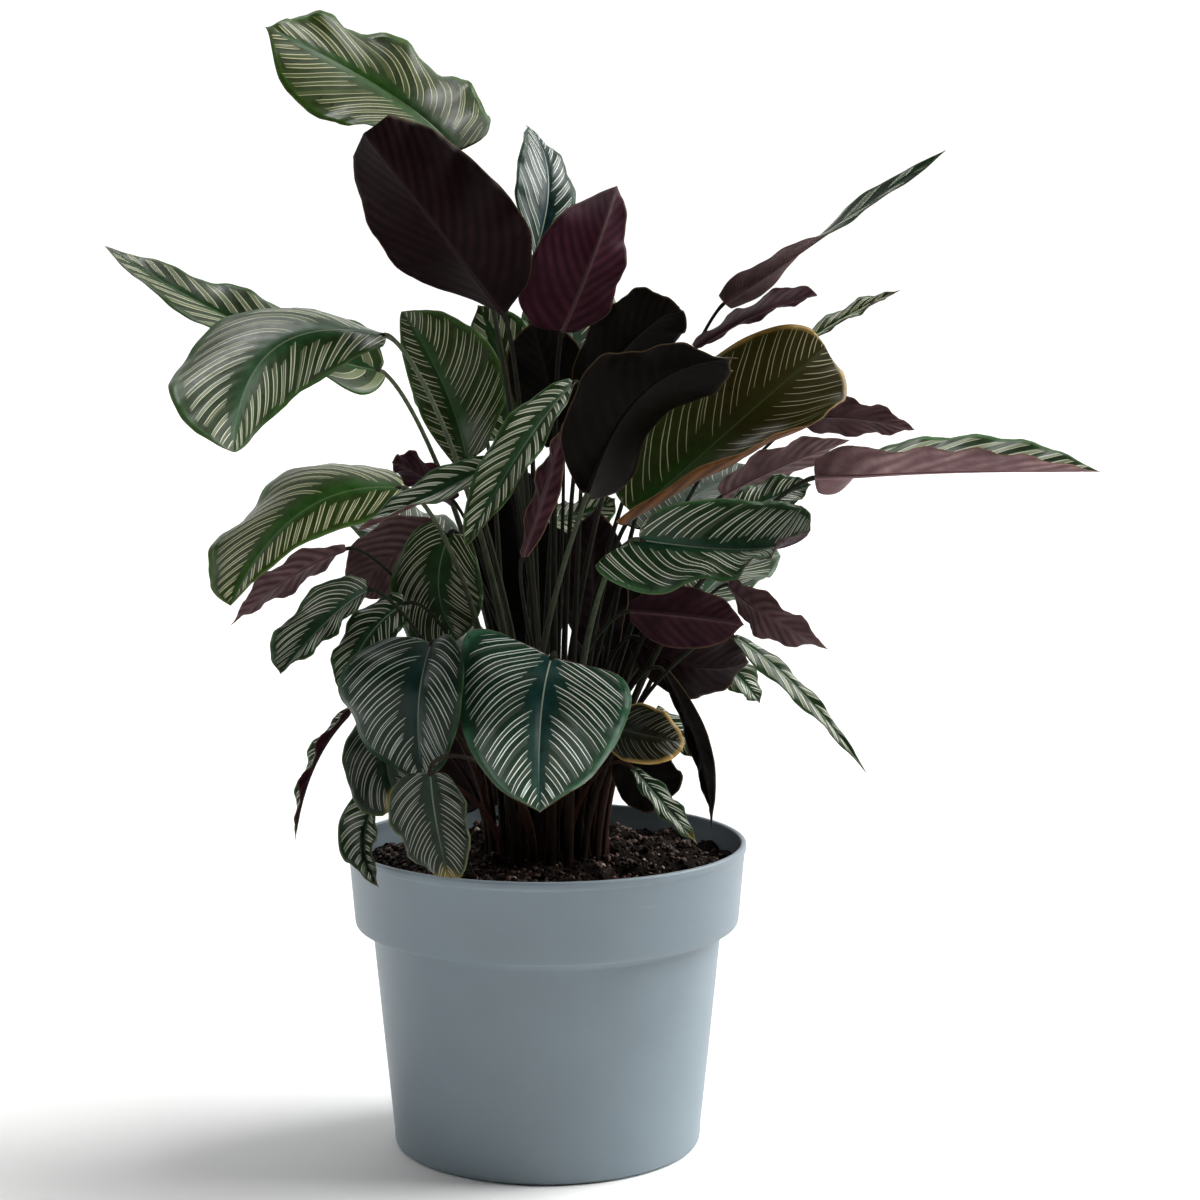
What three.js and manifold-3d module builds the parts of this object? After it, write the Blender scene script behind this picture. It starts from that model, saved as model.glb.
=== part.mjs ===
// Potted calathea (pin-stripe calathea) in a round nursery pot. Millimetres, +Z up.
// The origin is the middle of the pot's base, which stands on Z = 0; the plant's front faces -Y.
import * as THREE from "three";
import { mergeVertices } from "three/addons/utils/BufferGeometryUtils.js";
import Module from "manifold-3d";

const wasm = await Module();
wasm.setup();

// ---------------------------------------------------------------- driving dimensions
const GAP = 0.3; // clearance between pieces that touch

const POT_HEIGHT = 185;
const RIM_R = 120.4; // outer radius of the bead on the rim
const COLLAR_TOP_R = 119.4;
const COLLAR_BOTTOM_R = 116;
const COLLAR_BOTTOM_Z = 136;
const BODY_TOP_R = 105.2;
const BODY_BOTTOM_R = 93;
const BASE_ROUND = 4; // rounding between the wall and the base
const WALL = 2.2;
const FLOOR_Z = 4.6; // inside face of the floor
const FOOT_RING_R = 82; // inner edge of the ring that the pot stands on
const RECESS_Z = 2; // the base is raised this much inside the ring
const PAD_R = 17; // flat pad in the middle of the base
const DRAIN_COUNT = 8;
const DRAIN_R = 5;
const DRAIN_CIRCLE_R = 58;
const POT_SIDES = 40;

const SOIL_EDGE_Z = 169;
const SOIL_CROWN = 8; // the soil's middle stands this much above its edge
const SOIL_LUMP = 1.4; // crumbs lift or lower the surface by up to this much
const SOIL_SIDES = 26;
const SOIL_RINGS = [20, 44, 68, 92];
const SOIL_SEED = 7;

const BLADE_THICK = 0.9;
const TIP_START = 0.955; // the last cross section, as a share of the blade's length
const STALK_FOOT_R = 3;
const STALK_TOP_R = 1.6;
const STALK_SIDES = 5;
const STALK_STATIONS = [0, 0.25, 0.55, 0.78, 0.9];
const STALK_LEAVES_SOIL_Z = 176;
const STALK_FOOT_Z = 160;
const STALK_RISE = 0.5; // share of its span that a stalk climbs before it leans
const STALK_ARRIVE = 22; // length over which a stalk runs into its midrib
const HOLE_EXTRA_R = 0.45;

// The stalks stand in the soil in rings, nearest the middle first: how many, and the ring's turn
// in degrees.
const ROOT_STEP = 9;
const ROOT_RINGS = [
  { count: 1, turn: 0 },
  { count: 6, turn: 0 },
  { count: 12, turn: 18.75 },
  { count: 18, turn: 17.5 },
  { count: 21, turn: 8.6 },
];

// ---------------------------------------------------------------- the leaves
// A leaf: name, place in the soil [ring, slot], blade base, middle of the midrib, tip, the way its upper
// side faces at the middle, and half its width (or [left, right], seen from above with the tip ahead).
// fold: degrees each half rises from the midrib at the base; open: the same at the tip; curl: further
// turn out to the margin; hem: yet more turn of the outer part; twist: turn of the blade from base to tip;
// neck and nose: turn of only its base or tip; wave: height of the margin's waves; waves: their number;
// point: 1 blunt to 1.6 slender tip; wide: where the blade is widest; lobe: width at the very base, as a
// share of the full width; full: 1 tapering to 0.4 round basal lobes; ear: how far these lobes reach back;
// bow: sideways bow of the stalk.
const LEAVES = [];

function leaf(name, root, base, mid, tip, face, half, shape = {}) {
  LEAVES.push({
    name, root,
    base: new THREE.Vector3(...base),
    mid: new THREE.Vector3(...mid),
    tip: new THREE.Vector3(...tip),
    face: new THREE.Vector3(...face),
    half: both(half),
    fold: both(shape.fold ?? 12).map(THREE.MathUtils.degToRad),
    open: both(shape.open ?? shape.fold ?? 12).map(THREE.MathUtils.degToRad),
    curl: both(shape.curl ?? -25).map(THREE.MathUtils.degToRad),
    hem: both(shape.hem ?? 0).map(THREE.MathUtils.degToRad),
    twist: THREE.MathUtils.degToRad(shape.twist ?? 0),
    neck: THREE.MathUtils.degToRad(shape.neck ?? 0),
    nose: THREE.MathUtils.degToRad(shape.nose ?? 0),
    wave: both(shape.wave ?? 2.5),
    waves: shape.waves ?? 3.5,
    point: shape.point ?? 1.25,
    wide: shape.wide ?? 0.4,
    lobe: shape.lobe ?? 0.42,
    full: shape.full ?? 1,
    ear: both(shape.ear ?? 0.55),
    bow: shape.bow ?? [0, 0],
  });
}

function both(value) {
  return Array.isArray(value) ? value : [value, value];
}

leaf("crown_left", [0, 0], [-52, -7, 595], [-96, 41, 633], [-167, 26, 670],
  [0.35, -0.79, 0.51], [49, 41], {
    fold: [33, 26], open: [-1, -7], curl: [-20, -30], twist: -3, nose: -6, wave: [1, 5],
    waves: 4.6, point: 1.26, wide: 0.44, lobe: 0.38, full: 0.6, ear: [0.2, 0.5],
  });
leaf("crown_dark", [1, 1], [-24, -39, 501], [-57, -70, 546], [-101, -65, 602],
  [0.25, 0.94, 0.22], [43, 45], {
    fold: [34, 32], open: [35, 39], curl: [-20, -25], twist: 15, nose: -6, wave: [4.5, 1],
    waves: 5, point: 0.73, wide: 0.31, lobe: 0.1, ear: [0.6, 0.2],
  });
leaf("crown_pale", [1, 5], [-8, 65, 537], [0, 85, 585], [-15, 129, 619],
  [0.52, -0.85, 0.11], [26, 18], {
    fold: [24, 26], open: [17, 7], twist: 19, neck: 23, nose: 3, wave: [1.5, 1.5], point: 1.38,
    wide: 0.27, lobe: 0.1, ear: [0.5, 0.4],
  });
leaf("crown_plum", [1, 2], [10, -14, 491], [27, -36, 531], [42, -14, 575],
  [0.09, 0.99, 0.11], [24, 34], {
    fold: [34, -1], open: [40, 3], curl: [-10, -25], twist: -23, neck: -7, nose: -13,
    wave: [3, 1], waves: 3, point: 1.03, wide: 0.2, lobe: 0.46, ear: 0.5,
  });
leaf("crown_black", [1, 3], [26, 6, 454], [52, 10, 486], [79, 0, 505],
  [-0.3, 1, 0.3], 28, { fold: [30, 10], wave: 3 });
leaf("centre_dark", [3, 2], [25, -98, 402], [57, -104, 459], [106, -157, 478],
  [-0.46, 0.88, 0.12], [49, 36], {
    fold: [44, 28], open: [17, -8], curl: [-10, -30], twist: -31, neck: -23, nose: 4, wave: 3.5,
    waves: 3, point: 1.65, wide: 0.32, lobe: 0.1, ear: [0.8, 0.5], bow: [0, -3],
  });
leaf("right_olive", [2, 5], [52, -21, 384], [111, -22, 436], [165, -3, 482],
  [-0.09, -0.99, 0.05], [40, 46], {
    fold: [-12, 62], open: [4, -38], curl: [-10, 85], twist: 15, wave: [0.6, 1.6], waves: 5,
    point: 0.75, wide: 0.35, lobe: 0.6, ear: [0.3, 0.5],
  });
leaf("spear_top", [3, 9], [107, 28, 507], [157, 5, 542], [232, -25, 595],
  [-0.4, 0.05, 0.9], [16, 15], {
    fold: 15, curl: -15, twist: 122, wave: [1.5, 2], waves: 3, point: 1.1, wide: 0.3, lobe: 0.4,
    ear: 0.3, bow: [0, 7],
  });
leaf("spear_plum", [2, 7], [90, 20, 481], [124, 10, 501], [159, -13, 512],
  [-0.34, 0.43, 0.84], [10, 25], {
    fold: [4, 0], open: [23, 5], twist: -19, neck: -7, nose: -7, wave: 2, point: 0.78,
    wide: 0.43, lobe: 0.37, ear: [0.5, 0.4], bow: [-1, 0],
  });
leaf("right_sliver", [4, 13], [158, 96, 481], [190, 98, 500], [220, 95, 515],
  [-0.3, -0.3, 0.8], 11, { fold: 25, wave: 1.5, point: 1.6, bow: [11, 2] });
leaf("right_tongue", [4, 12], [161, 76, 436], [191, 77, 436], [227, 67, 429],
  [0, 0.71, 0.71], [17, 16], {
    fold: [11, 13], open: [13, 16], nose: -3, point: 1.17, wide: 0.28, lobe: 0.35,
    ear: [0.7, 0.6], bow: [0, 6],
  });
leaf("right_long", [4, 8], [161, 12, 403], [237, 0, 408], [325, -25, 409],
  [0, -0.05, 1], [31, 25], {
    fold: [20, 33], open: [50, 33], curl: [8, 10], twist: 0, neck: -75, wave: [1.5, 2], waves: 6,
    point: 1.15, wide: 0.35, lobe: 0.42, full: 0.8, ear: 0.2, bow: [6, -2],
  });
leaf("right_mauve", [4, 10], [107, 43, 390], [140, 53, 406], [187, 66, 423],
  [0, 0.7, 0.6], 16, { fold: 20, bow: [-4, 16] });
leaf("right_shadow", [3, 8], [107, 13, 377], [135, 25, 389], [160, 25, 398],
  [0, -0.7, 0.6], 14, { fold: 20, bow: [1, -10] });
leaf("front_right", [4, 6], [54, -102, 376], [118, -116, 372], [146, -144, 385],
  [0.04, -0.64, 0.77], [29, 33], {
    fold: [40, 19], open: [30, 44], curl: [-15, -30], twist: -18, neck: 26, nose: 4,
    wave: [1.5, 3.5], waves: 4, point: 0.8, wide: 0.27, lobe: 0.44, full: 0.55, ear: [0.2, 1.1],
  });
leaf("right_plum_inner", [3, 3], [50, -70, 332], [86, -90, 331], [113, -100, 328],
  [0.01, 1, 0.08], [19, 17], {
    fold: [14, 26], open: [13, 27], twist: 24, neck: 10, point: 1.25, wide: 0.28, lobe: 0.32,
    ear: [0.5, 0.6],
  });
leaf("right_plum_outer", [4, 9], [111, 31, 336], [133, 9, 320], [171, 20, 298],
  [-0.13, 0.7, 0.7], [20, 15], {
    fold: [15, 9], open: [16, 10], twist: -17, nose: 4, point: 1.49, wide: 0.38, lobe: 0.42,
    ear: [0.5, 0.4], bow: [2, 17],
  });
leaf("right_hanging", [4, 7], [111, -28, 312], [150, -28, 280], [189, -38, 232],
  [0.5, -0.62, 0.6], [7, 12], {
    fold: [16, 4], open: [18, 31], twist: 26, neck: 3, nose: 5, wave: [1.5, 1.5], point: 1.11,
    wide: 0.2, lobe: 0.31, ear: [-0.1, 0.2], bow: [2, 1],
  });
leaf("right_small", [4, 11], [93, 40, 298], [114, 45, 281], [131, 45, 261],
  [0.2, -0.6, 0.6], 13, { fold: 20 });
leaf("right_black", [2, 6], [56, 7, 306], [89, 7, 290], [123, 25, 290],
  [-0.1, 0.8, 0.4], 24, { bow: [0, -4] });
leaf("right_drooping", [3, 7], [70, -21, 290], [91, -15, 242], [99, -12, 193],
  [0.3, 0.9, 0.1], 8, { fold: 40, wave: 1.5, point: 1.5, ear: 0.1, bow: [-6, -3] });
leaf("right_tiny", [4, 15], [67, 70, 252], [86, 75, 234], [103, 75, 224],
  [0.2, -0.7, 0.5], 10);
leaf("low_right_round", [3, 4], [37, -42, 261], [59, -69, 260], [81, -67, 255],
  [0.07, -0.92, 0.39], [18, 18], {
    fold: [15, 11], open: [11, 10], twist: -6, wave: 1.2, point: 1.17, wide: 0.32, lobe: 0.25,
    ear: [0.7, 0.5],
  });
leaf("low_right_black", [3, 6], [45, -40, 245], [58, -46, 232], [72, -48, 218],
  [0, 0.9, 0.3], 20, { bow: [-2, 0] });
leaf("low_right_narrow", [3, 5], [51, -60, 239], [68, -72, 221], [88, -78, 198],
  [0.3, -0.7, 0.5], 8, { fold: 25, lobe: 0.3, ear: 0 });
leaf("front_centre", [4, 5], [5, -112, 311], [-1, -120, 277], [0, -187, 238],
  [-0.02, -0.93, 0.37], [50, 51], {
    fold: [14, 14], open: [17, 17], curl: -35, twist: 7, neck: -7, wave: [1.2, 1], point: 1.14,
    wide: 0.21, lobe: 0.38, full: 0.5, ear: [0.5, 1],
  });
leaf("front_left", [4, 3], [-63, -93, 316], [-69, -115, 285], [-69, -86, 237],
  [-0.31, -0.88, 0.37], [28, 49], {
    fold: [34, 27], open: [10, 9], curl: -35, twist: 29, neck: 15, nose: -11, wave: [2, 1],
    point: 1.21, wide: 0.31, lobe: 0.28, full: 0.6, ear: 0.4,
  });
leaf("front_left_lower", [4, 1], [-80, -69, 276], [-90, -75, 247], [-82, -78, 223],
  [-0.15, -1, 0.3], 26, { point: 1, bow: [0, 1] });
leaf("rim_left", [4, 4], [-61, -143, 251], [-58, -139, 222], [-52, -129, 190],
  [-0.06, -0.94, 0.34], [18, 26], {
    fold: [-7, 4], open: [2, -9], twist: 36, nose: 7, point: 0.71, wide: 0.29, lobe: 0.32,
    full: 0.6, ear: [0.3, 0.5], bow: [5, -30],
  });
leaf("rim_crumpled", [4, 2], [-92, -52, 228], [-104, -72, 201], [-93, -105, 179],
  [-0.4, -0.9, 0.2], [10, 16], { fold: [30, 60], wave: 2.5, waves: 3, bow: [0, -1] });
leaf("left_hanging", [4, 20], [-116, -25, 267], [-138, -28, 234], [-149, -28, 190],
  [-0.9, -0.2, 0.4], 8, { fold: 45, point: 1.5 });
leaf("left_narrow", [4, 0], [-101, -61, 343], [-126, -47, 324], [-153, -59, 294],
  [-0.33, -0.71, 0.62], [14, 24], {
    fold: [22, 20], open: [24, 14], twist: 5, neck: -3, point: 1.25, wide: 0.47, lobe: 0.27,
    ear: [0.3, 0.4], bow: [0, -6],
  });
leaf("left_plum", [4, 19], [-118, -19, 363], [-152, -22, 346], [-187, -17, 317],
  [-0.04, 0.64, 0.77], [13, 16], {
    fold: [21, 21], open: [23, 30], twist: 13, neck: -5, nose: -7, point: 1.53, wide: 0.38,
    lobe: 0.23, ear: [0.4, 0.5], bow: [0, 1],
  });
leaf("left_large", [3, 1], [-82, -58, 402], [-138, -69, 389], [-177, -86, 337],
  [-0.23, -0.7, 0.67], [22, 52], {
    fold: [-11, -9], open: [18, 5], curl: -35, twist: 9, neck: 15, nose: -15, wave: [1.5, 3.5],
    point: 1.03, wide: 0.24, lobe: 0.1, full: 0.7, ear: [0.6, 0.5],
  });
leaf("arched_left", [2, 1], [-91, -50, 489], [-152, -66, 482], [-169, -123, 426],
  [0, -0.91, 0.4], [30, 47], {
    fold: [-17, -5], open: [-18, -17], curl: -35, twist: -42, neck: 24, nose: -16,
    wave: [1, 2.5], point: 0.98, wide: 0.41, lobe: 0.4, full: 0.7, ear: [0.4, 0.3],
  });
leaf("long_left", [2, 11], [-99, 4, 467], [-171, -16, 492], [-264, 22, 541],
  [0.03, -0.53, 0.85], [31, 30], {
    fold: [37, 30], open: [14, 9], twist: -2, neck: -25, nose: 2, wave: [1.5, 3], waves: 4,
    point: 1, wide: 0.2, lobe: 0.19, ear: [0.6, 0.7], bow: [-2, 1],
  });
leaf("upright_left", [1, 0], [-48, 16, 413], [-63, 41, 457], [-86, 9, 502],
  [-0.11, -0.98, 0.18], [20, 39], {
    fold: [22, 24], open: [26, 24], twist: 14, nose: -8, wave: [1, 2], point: 0.92, wide: 0.34,
    lobe: 0.43, ear: [0.3, 0.4], bow: [3, -1],
  });
leaf("upright_pale", [2, 8], [-24, 70, 422], [-27, 75, 464], [-44, 80, 506],
  [0, -1, 0.25], [22, 26]);
leaf("slanting_centre", [2, 4], [17, -61, 462], [-11, -90, 427], [-42, -119, 374],
  [-0.27, -0.92, 0.28], [11, 17], {
    fold: [29, 26], open: [20, 25], twist: -13, neck: 3, point: 0.86, wide: 0.43, lobe: 0.23,
    ear: [0, 0.4],
  });
leaf("rolled_young", [2, 3], [-12, -73, 364], [1, -75, 402], [11, -75, 440],
  [0.3, 0.9, 0], [9, 12], { fold: 50, lobe: 0.4, ear: 0.1, bow: [1, 2] });
leaf("pale_centre", [3, 14], [-1, 96, 371], [21, 111, 373], [42, 115, 383],
  [0, -0.8, 0.6], [12, 16], { bow: [1, 0] });
leaf("inner_left", [2, 0], [-57, -16, 371], [-63, -23, 339], [-52, -23, 309],
  [-0.2, -1, 0.15], [27, 29], { lobe: 0.4, full: 0.7 });
leaf("mauve_left", [2, 9], [-67, 16, 368], [-93, 15, 356], [-117, 10, 334],
  [0, 0.9, 0.4], [22, 24], { fold: 15 });
leaf("edge_left", [2, 2], [-27, -75, 417], [-63, -85, 399], [-106, -92, 379],
  [0.1, -0.25, 1], [18, 15], {
    fold: [25, 40], twist: 50, wave: [1.5, 1.5], lobe: 0.3, bow: [-1, 1],
  });
leaf("shadow_left", [2, 10], [-56, -3, 391], [-75, 0, 406], [-92, 0, 413],
  [0, 0.6, 0.7], 15, { bow: [0, 1] });
leaf("striped_left", [3, 0], [-82, -42, 333], [-103, -48, 314], [-118, -60, 283],
  [-0.3, -0.75, 0.5], 17, { bow: [0, -1] });
leaf("inner_black", [1, 4], [9, 18, 425], [1, 18, 462], [-9, 14, 496],
  [0, 1, 0.1], 24);
leaf("back_crown_middle", [3, 13], [7, 95, 421], [14, 140, 483], [6, 185, 530],
  [0, -0.6, 0.8], 34);
leaf("back_crown_right", [3, 12], [46, 90, 421], [72, 145, 448], [99, 195, 461],
  [-0.2, -0.6, 0.8], 34);
leaf("back_crown_left", [3, 16], [-40, 95, 421], [-57, 145, 444], [-68, 190, 468],
  [0.2, -0.6, 0.8], 32);
leaf("back_right_high", [3, 11], [63, 82, 365], [100, 140, 386], [140, 190, 397],
  [-0.2, -0.6, 0.8], 32, { bow: [-2, -3] });
leaf("back_right_low", [4, 14], [88, 70, 316], [114, 120, 335], [146, 170, 348],
  [-0.2, -0.5, 0.8], 28, { bow: [0, 2] });
leaf("back_left_high", [3, 17], [-62, 79, 347], [-97, 128, 365], [-140, 175, 377],
  [0.2, -0.5, 0.8], 30);
leaf("back_left_low", [4, 18], [-50, 80, 283], [-77, 130, 286], [-111, 175, 250],
  [0.2, -0.7, 0.7], 28);
leaf("back_low_right", [4, 16], [35, 85, 264], [44, 108, 302], [55, 130, 338],
  [0.1, 1, 0.35], 28);
leaf("back_middle", [3, 15], [-13, 85, 290], [-19, 115, 350], [-32, 142, 407],
  [-0.1, 1, 0.3], 33, { bow: [-1, 0] });
leaf("back_low_left", [4, 17], [-42, 52, 196], [-50, 72, 227], [-62, 92, 262],
  [0, 1, 0.3], 25);
leaf("back_inner_right", [3, 10], [34, 50, 294], [28, 74, 335], [30, 91, 380],
  [0.2, 1, 0.35], 22, { bow: [-7, -6] });

// ---------------------------------------------------------------- leaf geometry
const HEM_START = 0.7; // a hem turns the margin from this share of the half width outwards
const ACROSS = [1, 0.5, 0, -0.5, -1]; // stations across the blade, right margin to left margin

// Fills in what follows from a leaf's table row: its midrib curve, length and middle frame.
function settle(blade) {
  const { base, mid, tip, face } = blade;
  blade.pull = mid.clone().multiplyScalar(2).addScaledVector(base, -0.5).addScaledVector(tip, -0.5);
  blade.chord = tip.clone().sub(base).normalize();
  blade.bend = blade.pull.clone().sub(base).cross(tip.clone().sub(blade.pull)).normalize();
  blade.midNormal = face.clone().addScaledVector(blade.chord, -face.dot(blade.chord)).normalize();
  blade.length = 0;
  const steps = 40;
  for (let i = 0; i < steps; i += 1) {
    blade.length += ribPoint(blade, i / steps).distanceTo(ribPoint(blade, (i + 1) / steps));
  }
}

// The midrib is a quadratic curve from base to tip, pulled so that it passes through mid.
function ribPoint(blade, t) {
  const point = blade.base.clone().multiplyScalar((1 - t) ** 2);
  return point.addScaledVector(blade.pull, 2 * t * (1 - t)).addScaledVector(blade.tip, t * t);
}

// 0 below low, 1 above high, and a smooth step between.
function eased(low, high, x) {
  return THREE.MathUtils.smoothstep(x, low, high);
}

// Along, upward and sideways directions at t. The upward one turns with the curve, then by the twists.
function ribFrame(blade, t) {
  const along = blade.pull.clone().sub(blade.base).multiplyScalar(1 - t);
  along.addScaledVector(blade.tip.clone().sub(blade.pull), t).normalize();
  const turn = Math.atan2(blade.chord.clone().cross(along).dot(blade.bend), along.dot(blade.chord));
  const up = blade.midNormal.clone().applyAxisAngle(blade.bend, turn);
  up.addScaledVector(along, -up.dot(along)).normalize();
  const atEnds = blade.neck * (1 - eased(0, 0.3, t)) + blade.nose * eased(0.7, 1, t);
  up.applyAxisAngle(along, blade.twist * (t - 0.5) + atEnds);
  return { along, up, side: along.clone().cross(up) };
}

// A point of the blade: s runs along the midrib, v from the left margin (-1) to the right (1). The flat
// blade widens by a power of a sine to its widest place and narrows by a cosine to the tip, and its side
// veins lean back at the base and forward at the tip. Across, each half is an arc that leaves the midrib
// at the fold angle and turns by the curl, then by the hem, with a sine wave that grows towards the margin.
function bladePoint(blade, s, v) {
  const right = v > 0 ? 1 : 0;
  const reach = Math.abs(v);
  const share = Math.max(Math.sin((Math.PI / 2) * Math.min(s / blade.wide, 1)), 0) ** blade.full;
  const grow = blade.lobe + (1 - blade.lobe) * share;
  const past = Math.max((s - blade.wide) / (1 - blade.wide), 0) ** 1.1;
  const width = blade.half[right] * grow * Math.max(Math.cos((Math.PI / 2) * past), 0) ** blade.point;
  const lean = -blade.ear[right] + (0.8 + blade.ear[right]) * s;
  const y = s * blade.length + width * (lean * reach + 0.3 * reach * reach);
  const t = Math.min(Math.max(y / blade.length, -0.25), 1);
  const { up, side } = ribFrame(blade, t);
  const fold = blade.fold[right] + (blade.open[right] - blade.fold[right]) * s;
  const perMm = blade.curl[right] / blade.half[right];
  const flat = width * Math.min(reach, HEM_START);
  const bent = fold + perMm * flat;
  let across = (Math.sin(bent) - Math.sin(fold)) / perMm;
  let rise = (Math.cos(fold) - Math.cos(bent)) / perMm;
  const hem = blade.hem[right] * eased(0.02, 0.2, s) * (1 - eased(0.8, 0.98, s));
  const hemPerMm = perMm + hem / Math.max(width * (1 - HEM_START), 1e-3);
  const angle = bent + hemPerMm * width * Math.max(reach - HEM_START, 0);
  across += (Math.sin(angle) - Math.sin(bent)) / hemPerMm;
  rise += (Math.cos(bent) - Math.cos(angle)) / hemPerMm;
  const phase = 2 * Math.PI * blade.waves * s + (v > 0 ? 0 : 1.7);
  const fade = Math.sin(Math.PI * Math.min(0.9 * s + 0.08, 1));
  const ripple = blade.wave[right] * reach ** 2.2 * Math.sin(phase) * fade;
  across -= ripple * Math.sin(angle);
  rise += ripple * Math.cos(angle);
  return ribPoint(blade, t).addScaledVector(side, Math.sign(v) * across).addScaledVector(up, rise);
}

function bladeNormal(blade, s, v) {
  const step = 0.01;
  const inner = THREE.MathUtils.clamp(v, -1 + step, 1 - step);
  const ahead = bladePoint(blade, s + step, inner).sub(bladePoint(blade, s - step, inner));
  const acrossStep = bladePoint(blade, s, inner + step).sub(bladePoint(blade, s, inner - step));
  return acrossStep.cross(ahead).normalize();
}

// Ten points round the blade at s: upper face from right to left, then lower face back.
function bladeRing(blade, s) {
  const upper = [];
  const lower = [];
  for (const v of ACROSS) {
    const point = bladePoint(blade, s, v);
    const normal = bladeNormal(blade, s, v);
    upper.push(point.clone().addScaledVector(normal, BLADE_THICK / 2));
    lower.unshift(point.addScaledVector(normal, -BLADE_THICK / 2));
  }
  return [...upper, ...lower];
}

function rootPlace(root) {
  const [ring, slot] = root;
  const { count, turn } = ROOT_RINGS[ring];
  const angle = THREE.MathUtils.degToRad(turn) + (2 * Math.PI * slot) / count - Math.PI;
  return new THREE.Vector3(
    ring * ROOT_STEP * Math.cos(angle),
    ring * ROOT_STEP * Math.sin(angle),
    STALK_LEAVES_SOIL_Z,
  );
}

// The stalk is a cubic curve that leaves the soil upright and runs into the midrib.
function stalkCurve(blade) {
  const start = rootPlace(blade.root);
  const span = start.distanceTo(blade.base);
  const rising = start.clone().add(new THREE.Vector3(...blade.bow, STALK_RISE * span));
  const { along } = ribFrame(blade, 0);
  const arriving = blade.base.clone().addScaledVector(along, -Math.min(STALK_ARRIVE, 0.3 * span));
  return new THREE.CubicBezierCurve3(start, rising, arriving, blade.base);
}

// Rings of the stalk from the foot up. Each frame is the one above it, squared to its own direction.
function stalkRings(blade) {
  const curve = stalkCurve(blade);
  const size = THREE.MathUtils.clamp(Math.max(...blade.half) / 30, 0.75, 1);
  let { up } = ribFrame(blade, 0);
  const stations = STALK_STATIONS.map((t) => ({
    at: curve.getPoint(t),
    along: curve.getTangent(t),
    radius: size * THREE.MathUtils.lerp(STALK_FOOT_R, STALK_TOP_R, t),
  }));
  const soilStation = stations[0];
  soilStation.along.set(0, 0, 1);
  stations.unshift({ ...soilStation, at: soilStation.at.clone().setZ(STALK_FOOT_Z) });
  const rings = [];
  for (const { at, along, radius } of stations.reverse()) {
    up = up.clone().addScaledVector(along, -up.dot(along)).normalize();
    const side = along.clone().cross(up);
    rings.unshift(ringAround(at, side, up, radius));
  }
  return rings;
}

function ringAround(centre, side, up, radius) {
  const ring = [];
  for (let i = 0; i < STALK_SIDES; i += 1) {
    const angle = THREE.MathUtils.degToRad(-18) + (2 * Math.PI * i) / STALK_SIDES;
    const point = centre.clone().addScaledVector(side, radius * Math.cos(angle));
    ring.push(point.addScaledVector(up, radius * Math.sin(angle)));
  }
  return ring;
}

// Joins the stalk's last ring of five to the blade's first ring of ten: [stalk point, blade point] steps.
const COLLAR_STEPS = [
  [0, 8], [0, 9], [0, 0], [0, 1], [1, 1], [1, 2], [2, 2], [2, 3],
  [3, 3], [3, 4], [3, 5], [3, 6], [4, 6], [4, 7], [4, 8], [0, 8],
];

function leafGeometry(blade) {
  const points = [];
  const faces = [];
  const add = (ring) => ring.map((point) => points.push(point) - 1);
  const stalk = stalkRings(blade).map(add);
  const stalkEnd = stalk.at(-1);
  faces.push([stalk[0][0], stalk[0][1], stalk[0][2]]);
  faces.push([stalk[0][0], stalk[0][2], stalk[0][3]]);
  faces.push([stalk[0][0], stalk[0][3], stalk[0][4]]);
  for (let k = 0; k + 1 < stalk.length; k += 1) {
    for (let i = 0; i < STALK_SIDES; i += 1) {
      const next = (i + 1) % STALK_SIDES;
      faces.push([stalk[k][i], stalk[k + 1][i], stalk[k + 1][next]]);
      faces.push([stalk[k][i], stalk[k + 1][next], stalk[k][next]]);
    }
  }
  const segments = Math.max(...blade.half) > 21 ? 9 : 6;
  const rings = [];
  for (let k = 0; k <= segments; k += 1) {
    rings.push(add(bladeRing(blade, (TIP_START * k) / segments)));
  }
  for (let step = 0; step + 1 < COLLAR_STEPS.length; step += 1) {
    const [from, low] = COLLAR_STEPS[step];
    const [to, high] = COLLAR_STEPS[step + 1];
    const last = from === to ? rings[0][high] : stalkEnd[to];
    faces.push([stalkEnd[from], rings[0][low], last]);
  }
  const around = 2 * ACROSS.length;
  for (let k = 0; k < segments; k += 1) {
    for (let i = 0; i < around; i += 1) {
      const next = (i + 1) % around;
      const [a, b, c, d] = [rings[k][i], rings[k][next], rings[k + 1][next], rings[k + 1][i]];
      // The lower face takes the other diagonal, so that both faces are split alike.
      if (i < ACROSS.length) {
        faces.push([a, d, c], [a, c, b]);
      } else {
        faces.push([a, d, b], [b, d, c]);
      }
    }
  }
  const tip = points.push(blade.tip.clone()) - 1;
  for (let i = 0; i < around; i += 1) {
    faces.push([rings[segments][i], tip, rings[segments][(i + 1) % around]]);
  }
  return geometryOf(points, faces);
}

// ---------------------------------------------------------------- solids and cuts
function geometryOf(points, faces) {
  const geometry = new THREE.BufferGeometry();
  const places = points.flatMap((point) => point.toArray());
  geometry.setAttribute("position", new THREE.Float32BufferAttribute(places, 3));
  geometry.setIndex(faces.flat());
  return geometry;
}

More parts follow.
